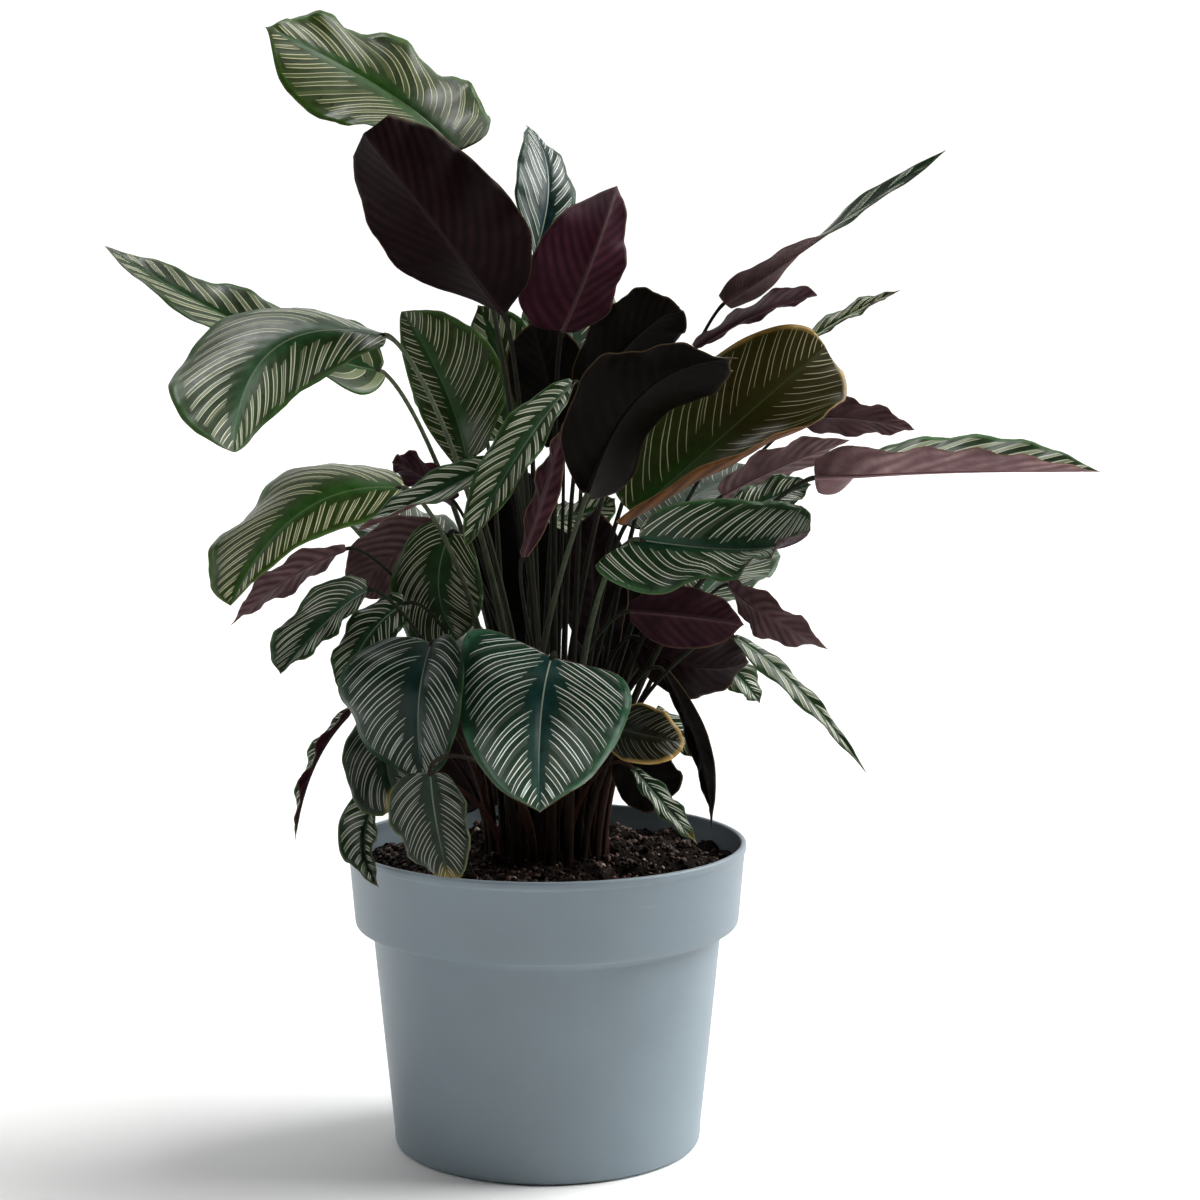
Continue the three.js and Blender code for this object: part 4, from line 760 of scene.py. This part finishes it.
    # Painted light and shade: the colour times the blade's lightness factor, darker for a blade in shade and
    # lighter for a lit one.
    colour = add(tree, "MixRGB", 1.0, colour, painted_light, blend_type="MULTIPLY")
    patch = add(tree, "TexNoise", place, None, METRE / 30, 2.0, 0.5)
    patch = add(tree, "MapRange", patch, 0.35, 0.65, 0.3, 1.0)
    rim_mm = add(tree, "Math", add(tree, "Math", worn, patch, operation="MULTIPLY"), 2.4, 0.7,
                 operation="MULTIPLY_ADD")
    rim = add(tree, "MapRange", edge, add(tree, "Math", rim_mm, 0.3, operation="MULTIPLY"), rim_mm, 1.0, 0.0)
    rim = add(tree, "Math", rim, add(tree, "MapRange", worn, 0.0, 0.5, 0.2, 0.85), operation="MULTIPLY")
    rim = add(tree, "Math", rim, patch, operation="MULTIPLY")
    rim_colour = add(tree, "MixRGB", worn, linear("#6E8058"), linear("#B08A48"))
    colour = add(tree, "MixRGB", rim, colour, rim_colour)
    near_tip = add(tree, "MapRange", along, 0.76, 1.0, 0.0, 1.3)
    near_tip = add(tree, "Math", near_tip, patch, operation="MULTIPLY")
    dried = add(tree, "Math", near_tip, dry, operation="MULTIPLY")
    yellow = add(tree, "MapRange", dried, 0.18, 0.6, 0.0, 0.8)
    brown = add(tree, "MapRange", dried, 0.62, 0.9, 0.0, 0.9)
    colour = add(tree, "MixRGB", yellow, colour, linear("#9A8426"))
    colour = add(tree, "MixRGB", brown, colour, linear("#6B4A22"))

    ridges = add(tree, "Math", add(tree, "Math", row, 31.4159, operation="MULTIPLY"), operation="SINE")
    relief = add(tree, "Math", ridges, 0.4, mottle, operation="MULTIPLY_ADD")
    bump = add(tree, "Bump", 0.1, 0.25 * MM, None, relief)
    rough = add(tree, "MapRange", mottle, 0.3, 0.7, 0.27, 0.40)
    return {"Base Color": colour, "Roughness": rough, "Normal": bump, "IOR": 1.45,
            "Specular IOR Level": 0.18}


def leaf_under(tree):
    """The underside: black-purple, plum or mauve and matte, partly its own colour and partly painted light:
    the black paints shade on undersides in shadow and the mauve light on lit ones. It is softly pleated
    between the lateral veins, which show as thin darker lines with fine paler ones between them, and the
    pleats are painted lighter on their swells and darker in the valleys."""
    row, rib, edge, plum, worn, painted_light = (
        add(tree, "Attribute", attribute_name=name, out=2)
        for name in ("row", "rib", "edge", "plum", "worn", "painted_light"))
    place = add(tree, "TexCoord", out=3)
    mottle = add(tree, "TexNoise", place, None, METRE / 9, 3.0, 0.6)
    off = add(tree, "Math", add(tree, "Math", row, operation="FRACT"), 0.5, operation="SUBTRACT")
    off = add(tree, "Math", off, operation="ABSOLUTE")
    vein = add(tree, "MapRange", off, 0.43, 0.5, 0.0, 1.0)
    pleat = add(tree, "MapRange", off, 0.04, 0.46, 1.0, 0.0, interpolation_type="SMOOTHSTEP")
    fine = add(tree, "Math", add(tree, "Math", row, 50.27, operation="MULTIPLY"), operation="SINE")
    # plum from 0 to 0.5 runs from near black, painted shade for undersides in shadow, to deep plum; from 0.5
    # to 1 on to mauve, partly painted light on lit undersides.
    dark_half = add(tree, "MapRange", plum, 0.0, 0.5)
    mauve_half = add(tree, "MapRange", plum, 0.5, 1.0)
    colour = add(tree, "MixRGB", dark_half, linear("#090705"), linear("#2C121B"))
    colour = add(tree, "MixRGB", mauve_half, colour, linear("#584244"))
    # Painted light and shade on the pleats: their swells take the lighter colour and the valleys at the
    # veins stay darker.
    pleat_light = add(tree, "MixRGB", dark_half, linear("#17100C"), linear("#4C2433"))
    pleat_light = add(tree, "MixRGB", mauve_half, pleat_light, linear("#8C7472"))
    patch = add(tree, "TexNoise", place, None, METRE / 35, 2.0, 0.5)
    patch = add(tree, "MapRange", patch, 0.35, 0.65, 0.1, 0.7)
    share = add(tree, "Math", pleat, patch, operation="MULTIPLY")
    share = add(tree, "Math", fine, 0.1, share, operation="MULTIPLY_ADD")
    share = add(tree, "Math", vein, -0.2, share, operation="MULTIPLY_ADD")
    colour = add(tree, "MixRGB", share, colour, pleat_light)
    shade = add(tree, "MapRange", mottle, 0.3, 0.7, 0.8, 1.2)
    colour = add(tree, "MixRGB", 1.0, colour, shade, blend_type="MULTIPLY")
    across = add(tree, "SeparateXYZ", add(tree, "UVMap", uv_map="UVMap"), out=1)
    outer = add(tree, "Math", add(tree, "Math", across, 0.5, operation="SUBTRACT"), operation="ABSOLUTE")
    aged = add(tree, "MapRange", worn, 0.6, 0.9, 0.0, 0.9)
    aged = add(tree, "Math", aged, add(tree, "MapRange", outer, 0.15, 0.35), operation="MULTIPLY")
    # Older leaves turn rust-brown towards the outer part; the rust too is painted lighter on the pleats'
    # swells and darker in their valleys.
    rust = add(tree, "MixRGB", pleat, linear("#4A2C14"), linear("#7A4E26"))
    colour = add(tree, "MixRGB", aged, colour, rust)
    midrib = add(tree, "MapRange", rib, 0.6, 1.8, 0.5, 0.0)
    midrib_colour = add(tree, "MixRGB", plum, linear("#1A110F"), linear("#7A5E60"))
    colour = add(tree, "MixRGB", midrib, colour, midrib_colour)
    rim = add(tree, "MapRange", edge, 0.2, 1.0, 0.6, 0.0)
    rim = add(tree, "Math", rim, add(tree, "MapRange", worn, 0.0, 1.0, 0.3, 1.6), operation="MULTIPLY")
    colour = add(tree, "MixRGB", rim, colour, linear("#8A6E4A"))
    # Painted light and shade: the colour times the blade's lightness factor.
    colour = add(tree, "MixRGB", 1.0, colour, painted_light, blend_type="MULTIPLY")
    relief = add(tree, "Math", pleat, 4.0, add(tree, "Math", fine, 0.5, mottle, operation="MULTIPLY_ADD"),
                 operation="MULTIPLY_ADD")
    bump = add(tree, "Bump", 0.1, 0.25 * MM, None, relief)
    return {"Base Color": colour, "Roughness": 0.5, "Normal": bump, "IOR": 1.4, "Specular IOR Level": 0.07}


def leaf_stalk(tree):
    """The stalk: fleshy grey-green to dark brown near the blade, partly its own colour and partly painted
    light, as a stalk in shade is painted dark and a lit one grey-green; painted shade makes it almost black
    in the heart of the clump; a brown-red sheath at the foot, with fine streaks along it."""
    seed = add(tree, "Attribute", attribute_name="seed", out=2)
    stalk = add(tree, "Attribute", attribute_name="stalk", out=2)
    place = add(tree, "TexCoord", out=3)
    height = add(tree, "SeparateXYZ", place, out=2)
    from_axis = add(tree, "VectorMath", add(tree, "VectorMath", place, (1, 1, 0), operation="MULTIPLY"),
                    operation="LENGTH", out=1)
    stretched = add(tree, "Mapping", place, None, None, (1.0, 1.0, 0.08))
    streak = add(tree, "TexNoise", stretched, None, METRE / 1.4, 2.0, 0.6)
    blotch = add(tree, "TexNoise", place, None, METRE / 38, 2.0, 0.5)
    pick = add(tree, "Math", add(tree, "Math", seed, 7.31, operation="MULTIPLY"), operation="FRACT")
    # Each leaf's stalk value sets how dark its stalk is: partly the stalk's own colour, partly painted shade
    # for stalks that stand in shade.
    fresh = add(tree, "MixRGB", pick, linear("#12150E"), linear("#191310"))
    fresh = add(tree, "MixRGB", stalk, fresh, linear("#565E4A"))
    sheath = add(tree, "MixRGB", pick, linear("#12120B"), linear("#38201A"))
    low = add(tree, "MapRange", height, 0.20, 0.32, 1.0, 0.0, interpolation_type="SMOOTHSTEP")
    low = add(tree, "Math", low, add(tree, "MapRange", blotch, 0.3, 0.7, 0.6, 1.1), operation="MULTIPLY")
    # Painted shade: stalks near the middle of the clump darken almost to black, where they stand in the
    # shade of the leaves.
    heart = add(tree, "MapRange", from_axis, 0.04, 0.09, 0.7, 0.0, interpolation_type="SMOOTHSTEP")
    fresh = add(tree, "MixRGB", heart, fresh, linear("#14130E"))
    colour = add(tree, "MixRGB", low, fresh, sheath)
    shade = add(tree, "MapRange", streak, 0.3, 0.7, 0.7, 1.25)
    colour = add(tree, "MixRGB", 1.0, colour, shade, blend_type="MULTIPLY")
    bump = add(tree, "Bump", 0.4, 0.2 * MM, None, streak)
    return {"Base Color": colour, "Roughness": 0.6, "Normal": bump, "IOR": 1.42, "Specular IOR Level": 0.06}


def pot_plastic(tree):
    """Injection-moulded polypropylene, blue-grey: an even satin skin with a faint flow mottle, slight haze
    from handling and a few dull scuffs."""
    place = add(tree, "TexCoord", out=3)
    haze = add(tree, "TexNoise", place, None, METRE / 110, 4.0, 0.55)
    grain = add(tree, "TexNoise", place, None, METRE / 1.1, 2.0, 0.5)
    squeezed = add(tree, "Mapping", place, None, None, (1.0, 1.0, 3.0))
    scuff = add(tree, "TexNoise", squeezed, None, METRE / 22, 5.0, 0.7)
    hazy = add(tree, "MapRange", haze, 0.35, 0.65)
    colour = add(tree, "MixRGB", hazy, linear("#727F87"), linear("#7A8890"))
    scuffed = add(tree, "MapRange", scuff, 0.62, 0.72, 0.0, 0.3)
    colour = add(tree, "MixRGB", scuffed, colour, linear("#86949C"))
    rough = add(tree, "MapRange", haze, 0.3, 0.7, 0.40, 0.50)
    rough = add(tree, "Math", scuffed, 0.25, rough, operation="MULTIPLY_ADD")
    bump = add(tree, "Bump", 0.12, 0.1 * MM, None, grain)
    return {"Base Color": colour, "Roughness": rough, "Normal": bump, "IOR": 1.49}


def potting_soil(tree):
    """Peat and bark compost: moist, near black brown, crumbly, with lighter fibres."""
    place = add(tree, "TexCoord", out=3)
    crumb = add(tree, "TexNoise", place, None, METRE / 2.4, 5.0, 0.7)
    patch = add(tree, "TexNoise", place, None, METRE / 17, 3.0, 0.6)
    fibre = add(tree, "MapRange", crumb, 0.35, 0.68)
    colour = add(tree, "MixRGB", fibre, linear("#080605"), linear("#1D130E"))
    drier = add(tree, "MapRange", patch, 0.5, 0.75, 0.0, 0.5)
    colour = add(tree, "MixRGB", drier, colour, linear("#2A1A12"))
    bump = add(tree, "Bump", 0.9, 0.8 * MM, None, crumb)
    return {"Base Color": colour, "Roughness": 0.9, "Normal": bump, "IOR": 1.4, "Specular IOR Level": 0.1}


def bark_crumb(tree):
    """Bits of composted bark: red-brown and rough."""
    place = add(tree, "TexCoord", out=3)
    crumb = add(tree, "TexNoise", place, None, METRE / 4, 3.0, 0.6)
    flake = add(tree, "MapRange", crumb, 0.35, 0.65)
    colour = add(tree, "MixRGB", flake, linear("#160C07"), linear("#553524"))
    return {"Base Color": colour, "Roughness": 0.8, "Normal": add(tree, "Bump", 0.7, 0.5 * MM, None, crumb)}


def pale_grit(tree):
    """Perlite and pale fibre in the compost: dusty off-white."""
    place = add(tree, "TexCoord", out=3)
    crumb = add(tree, "TexNoise", place, None, METRE / 2, 2.0, 0.6)
    colour = add(tree, "MixRGB", crumb, linear("#5E4C3C"), linear("#B5A48C"))
    return {"Base Color": colour, "Roughness": 0.75}


# ---------------------------------------------------------------- pot
def rounded(corners, steps=5):
    """A profile whose corners (r, z, radius) are eased: each corner gives the points of a quadratic curve
    that starts and ends that far along its two sides."""
    points = []
    at = np.array([c[:2] for c in corners], float)
    for i, (_, _, radius) in enumerate(corners):
        if radius == 0 or i in (0, len(corners) - 1):
            points.append(at[i][None])
            continue
        back, ahead = unit(at[i - 1] - at[i]), unit(at[i + 1] - at[i])
        t = np.linspace(0, 1, steps)[:, None]
        points.append((1 - t) ** 2 * (at[i] + back * radius) + 2 * t * (1 - t) * at[i]
                      + t**2 * (at[i] + ahead * radius))
    return np.concatenate(points)


def turned_grid(profile, sides):
    """The profile (r, z) carried round the Z axis: one row of points for each profile point."""
    angle = np.linspace(0, 2 * np.pi, sides, endpoint=False)
    r, z = profile[:, :1], profile[:, 1:]
    return np.stack([r * np.cos(angle), r * np.sin(angle), np.broadcast_to(z, (len(z), sides))], -1)


def make_pot(plastic):
    """The pot's profile, from the middle of the base out, up the wall, over the bead and down inside."""
    step = COLLAR_BOTTOM_Z - 5
    waist_z = 60
    waist_r = BODY_BOTTOM_R + (BODY_TOP_R - BODY_BOTTOM_R) * waist_z / COLLAR_BOTTOM_Z
    corners = [
        (0.01, 0, 0), (PAD_R, 0, 0.5), (PAD_R + 1.5, RECESS_Z, 0.5), (FOOT_RING_R - 1.5, RECESS_Z, 0.5),
        (FOOT_RING_R, 0, 0.5), (BODY_BOTTOM_R, 0, 4.5), (BODY_BOTTOM_R + 0.2, 9, 0),
        (waist_r, waist_z, 0), (BODY_TOP_R, step, 1.5), (BODY_TOP_R + 1.6, COLLAR_BOTTOM_Z - 1.6, 1.2),
        (COLLAR_BOTTOM_R - 0.4, COLLAR_BOTTOM_Z - 0.4, 2.6), (COLLAR_BOTTOM_R + 0.4, COLLAR_BOTTOM_Z + 8, 0),
        (COLLAR_TOP_R, POT_HEIGHT - 5.2, 0.7), (RIM_R, POT_HEIGHT - 4.2, 0.7), (RIM_R, POT_HEIGHT, 1.7),
        (RIM_R - 3.4, POT_HEIGHT, 1.4), (COLLAR_TOP_R - WALL, POT_HEIGHT - 6, 1.5),
        (COLLAR_BOTTOM_R - WALL, COLLAR_BOTTOM_Z + 2.4, 2), (BODY_TOP_R - 0.6, COLLAR_BOTTOM_Z + 0.4, 2),
        (BODY_TOP_R - WALL - 0.6, step - 3, 1), (BODY_BOTTOM_R - WALL, FLOOR_Z, 3), (0.01, FLOOR_Z, 0),
    ]
    shell = Shell()
    shell.grid(turned_grid(rounded(corners), POT_SIDES), around=True)
    pot = shell.piece("nursery_pot", [plastic])
    weld(pot, POT_WELD)
    drills = Shell()
    for i in range(DRAIN_COUNT):
        angle = 2 * np.pi * i / DRAIN_COUNT
        rod = np.array([(0.01, -5), (DRAIN_R, -5), (DRAIN_R, 12), (0.01, 12)], float)
        middle = DRAIN_CIRCLE_R * np.array([np.cos(angle), np.sin(angle), 0])
        drills.grid(turned_grid(rod, HOLE_SIDES) + middle, around=True)
    drill = drills.piece("drain_drill", [plastic])
    weld(drill, POT_WELD)
    cut = pot.modifiers.new("drain holes", "BOOLEAN")
    cut.operation, cut.solver, cut.object = "DIFFERENCE", "EXACT", drill
    finished = bpy.data.meshes.new_from_object(pot.evaluated_get(bpy.context.evaluated_depsgraph_get()))
    pot.modifiers.clear()
    pot.data = finished
    bpy.data.objects.remove(drill)
    finished.set_sharp_from_angle(angle=np.radians(40))
    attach(pot, "root")
    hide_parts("pot")


# ---------------------------------------------------------------- soil
def soil_top(x, y):
    """Height of the soil: a low mound, plus sixty seeded sine waves 5 to 34 mm long that make it lumpy."""
    draw = np.random.default_rng(SOIL_SEED)
    length = draw.uniform(5, 34, 60)
    way = draw.uniform(0, 2 * np.pi, 60)
    phase = draw.uniform(0, 2 * np.pi, 60)
    edge = COLLAR_TOP_R - WALL
    height = SOIL_EDGE_Z + SOIL_CROWN * (1 - (x**2 + y**2) / edge**2)
    for size, angle, start in zip(length, way, phase):
        wave = 2 * np.pi / size * (x * np.cos(angle) + y * np.sin(angle)) + start
        height = height + 0.016 * size * np.sin(wave)
    return height


def crumbs(count, draw):
    """Points of many lumps: an icosahedron's corners, each pushed in or out, stretched and turned, lying
    on the soil with about a third of it sunk."""
    golden = (1 + 5**0.5) / 2
    ico = unit(np.array([(0, 1, golden), (0, -1, golden), (0, 1, -golden), (0, -1, -golden),
                         (1, golden, 0), (-1, golden, 0), (1, -golden, 0), (-1, -golden, 0),
                         (golden, 0, 1), (-golden, 0, 1), (golden, 0, -1), (-golden, 0, -1)], float))
    edge = COLLAR_TOP_R - WALL - 3.5
    r = edge * np.sqrt(draw.uniform(0, 1, count))
    angle = draw.uniform(0, 2 * np.pi, count)
    size = 0.5 + 1.9 * draw.uniform(0, 1, count) ** 3
    x, y = r * np.cos(angle), r * np.sin(angle)
    stretch = draw.uniform(0.45, 1.35, (count, 1, 3))
    knob = draw.uniform(0.72, 1.25, (count, len(ico), 1))
    lump = ico[None] * knob * stretch * size[:, None, None]
    axis = unit(draw.normal(size=(count, 1, 3)))
    turns = draw.uniform(0, 6.28, (count, 1)) * np.ones((1, len(ico)))
    lump = turned(lump, np.broadcast_to(axis, lump.shape), turns)
    spot = np.stack([x, y, soil_top(x, y) + 0.25 * size], -1)
    return lump + spot[:, None]


ICO_FACES = np.array([(0, 1, 8), (0, 8, 4), (0, 4, 5), (0, 5, 9), (0, 9, 1), (1, 6, 8), (8, 6, 10),
                      (8, 10, 4), (4, 10, 2), (4, 2, 5), (5, 2, 11), (5, 11, 9), (9, 11, 7), (9, 7, 1),
                      (1, 7, 6), (3, 6, 7), (3, 7, 11), (3, 11, 2), (3, 2, 10), (3, 10, 6)])


def make_soil(materials):
    """The soil's body: its wall follows the inside of the pot, its top is the lumpy mound, and crumbs of
    peat, bark and pale grit lie on it."""
    edge = COLLAR_TOP_R - WALL - 0.9
    wall = np.array([
        (0.01, FLOOR_Z + 0.3), (BODY_BOTTOM_R - WALL - 3.2, FLOOR_Z + 0.3),
        (BODY_BOTTOM_R - WALL - 0.8, FLOOR_Z + 3), (BODY_TOP_R - WALL - 1.4, COLLAR_BOTTOM_Z - 8),
        (BODY_TOP_R - 1.6, COLLAR_BOTTOM_Z + 1.4), (COLLAR_BOTTOM_R - WALL - 1.2, COLLAR_BOTTOM_Z + 5),
        (edge - 0.5, SOIL_EDGE_Z - 3),
    ])
    inward = np.linspace(edge, 0.01, SOIL_RINGS)
    profile = np.concatenate([wall, np.stack([inward, np.full(SOIL_RINGS, SOIL_EDGE_Z)], -1)])
    grid = turned_grid(profile, SOIL_SIDES)
    top = grid[len(wall):]
    top[..., 2] = soil_top(top[..., 0], top[..., 1])
    top[0, :, 2] -= 1.2
    shell = Shell()
    shell.grid(grid, around=True)
    draw = np.random.default_rng(SOIL_SEED + 1)
    for slot, share in ((0, 0.55), (1, 0.43), (2, 0.02)):
        lumps = crumbs(int(CRUMBS * share), draw)
        faces = ICO_FACES[None] + lumps.shape[1] * np.arange(len(lumps))[:, None, None]
        faces = faces.reshape(-1, 3)
        shell.add(lumps.reshape(-1, 3), faces, np.zeros((len(faces), 3, 2)), slot)
    soil = shell.piece("potting_soil", materials)
    weld(soil, SOIL_WELD)
    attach(soil, "root")
    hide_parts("soil")


# ---------------------------------------------------------------- studio
def make_studio():
    """A wide pale floor and a far pale wall, soft daylight that is brighter behind and to the right, and
    soft lamps. The wall only fills the view: it holds back no light."""
    scene = bpy.context.scene
    shell = Shell()
    far = FLOOR_REACH
    shell.grid(np.array([[(-far, far, 0), (far, far, 0)], [(-far, -far, 0), (far, -far, 0)]], float))
    floor = shell.piece("studio_floor", [material("matte white paint", lambda tree: {
        "Base Color": linear("#F4F4F3"), "Roughness": 0.9})])
    ring = Shell()
    ring.grid(turned_grid(np.array([(WALL_AWAY, WALL_AWAY), (WALL_AWAY, -10)], float), 64), around=True)
    wall = ring.piece("studio_wall", [material("lit white wall", lambda tree: {
        "Base Color": linear("#000000"), "Emission Color": linear("#FFFFFF"), "Emission Strength": 1.1,
        "Specular IOR Level": 0.0})])
    wall.visible_diffuse = wall.visible_glossy = wall.visible_shadow = wall.visible_transmission = False

    world = bpy.data.worlds.new("soft daylight")
    scene.world = world
    world.use_nodes = True
    tree = world.node_tree
    sky = tree.nodes["Background"]
    way = add(tree, "TexCoord")
    toward = add(tree, "VectorMath", way, SKY_BRIGHT_WAY, operation="DOT_PRODUCT", out=1)
    glow = add(tree, "MapRange", toward, *SKY_SPREAD, SKY_DIM, SKY_BRIGHT, interpolation_type="SMOOTHSTEP")
    tree.links.new(glow, sky.inputs["Strength"])
    sky.inputs["Color"].default_value = (1, 1, 1, 1)

    for name, (way, strength, softness, diffuse) in WINDOWS.items():
        lamp = bpy.data.lights.new(name, "SUN")
        lamp.energy = strength
        lamp.angle = np.radians(softness)
        held = bpy.data.objects.new(name, lamp)
        scene.collection.objects.link(held)
        held.rotation_euler = Vector(way).to_track_quat("Z", "Y").to_euler()
        held.visible_diffuse = diffuse

    view = bpy.data.cameras.new("camera")
    view.lens = CAMERA_LENS
    view.sensor_width = 36
    view.clip_end = 500
    eye = bpy.data.objects.new("camera", view)
    scene.collection.objects.link(eye)
    eye.location = [c * MM for c in CAMERA_AT]
    eye.rotation_euler = (np.radians(90 - CAMERA_DOWN), 0, 0)
    scene.camera = eye
    scene.view_settings.view_transform = "Standard"


# ---------------------------------------------------------------- making the object
plastic = material("blue-grey polypropylene", pot_plastic)
compost = [material("peat compost", potting_soil), material("bark crumb", bark_crumb),
           material("pale grit", pale_grit)]
leaf_finish = [material("waxy striped leaf", leaf_upper), material("plum leaf underside", leaf_under),
               material("leaf stalk", leaf_stalk)]

make_studio()
make_pot(plastic)
make_soil(compost)
for number, blade in enumerate(LEAVES):
    settle(blade)
    blade.update({**PLAIN_LOOK, "pairs": np.round(6 + blade["length"] / 20), **LOOKS.get(blade["name"], {})})
    blade["seed"] = 0.618 * (number + 1) % 1 + number  # a different draw for each leaf
    make_leaf(blade, leaf_finish)
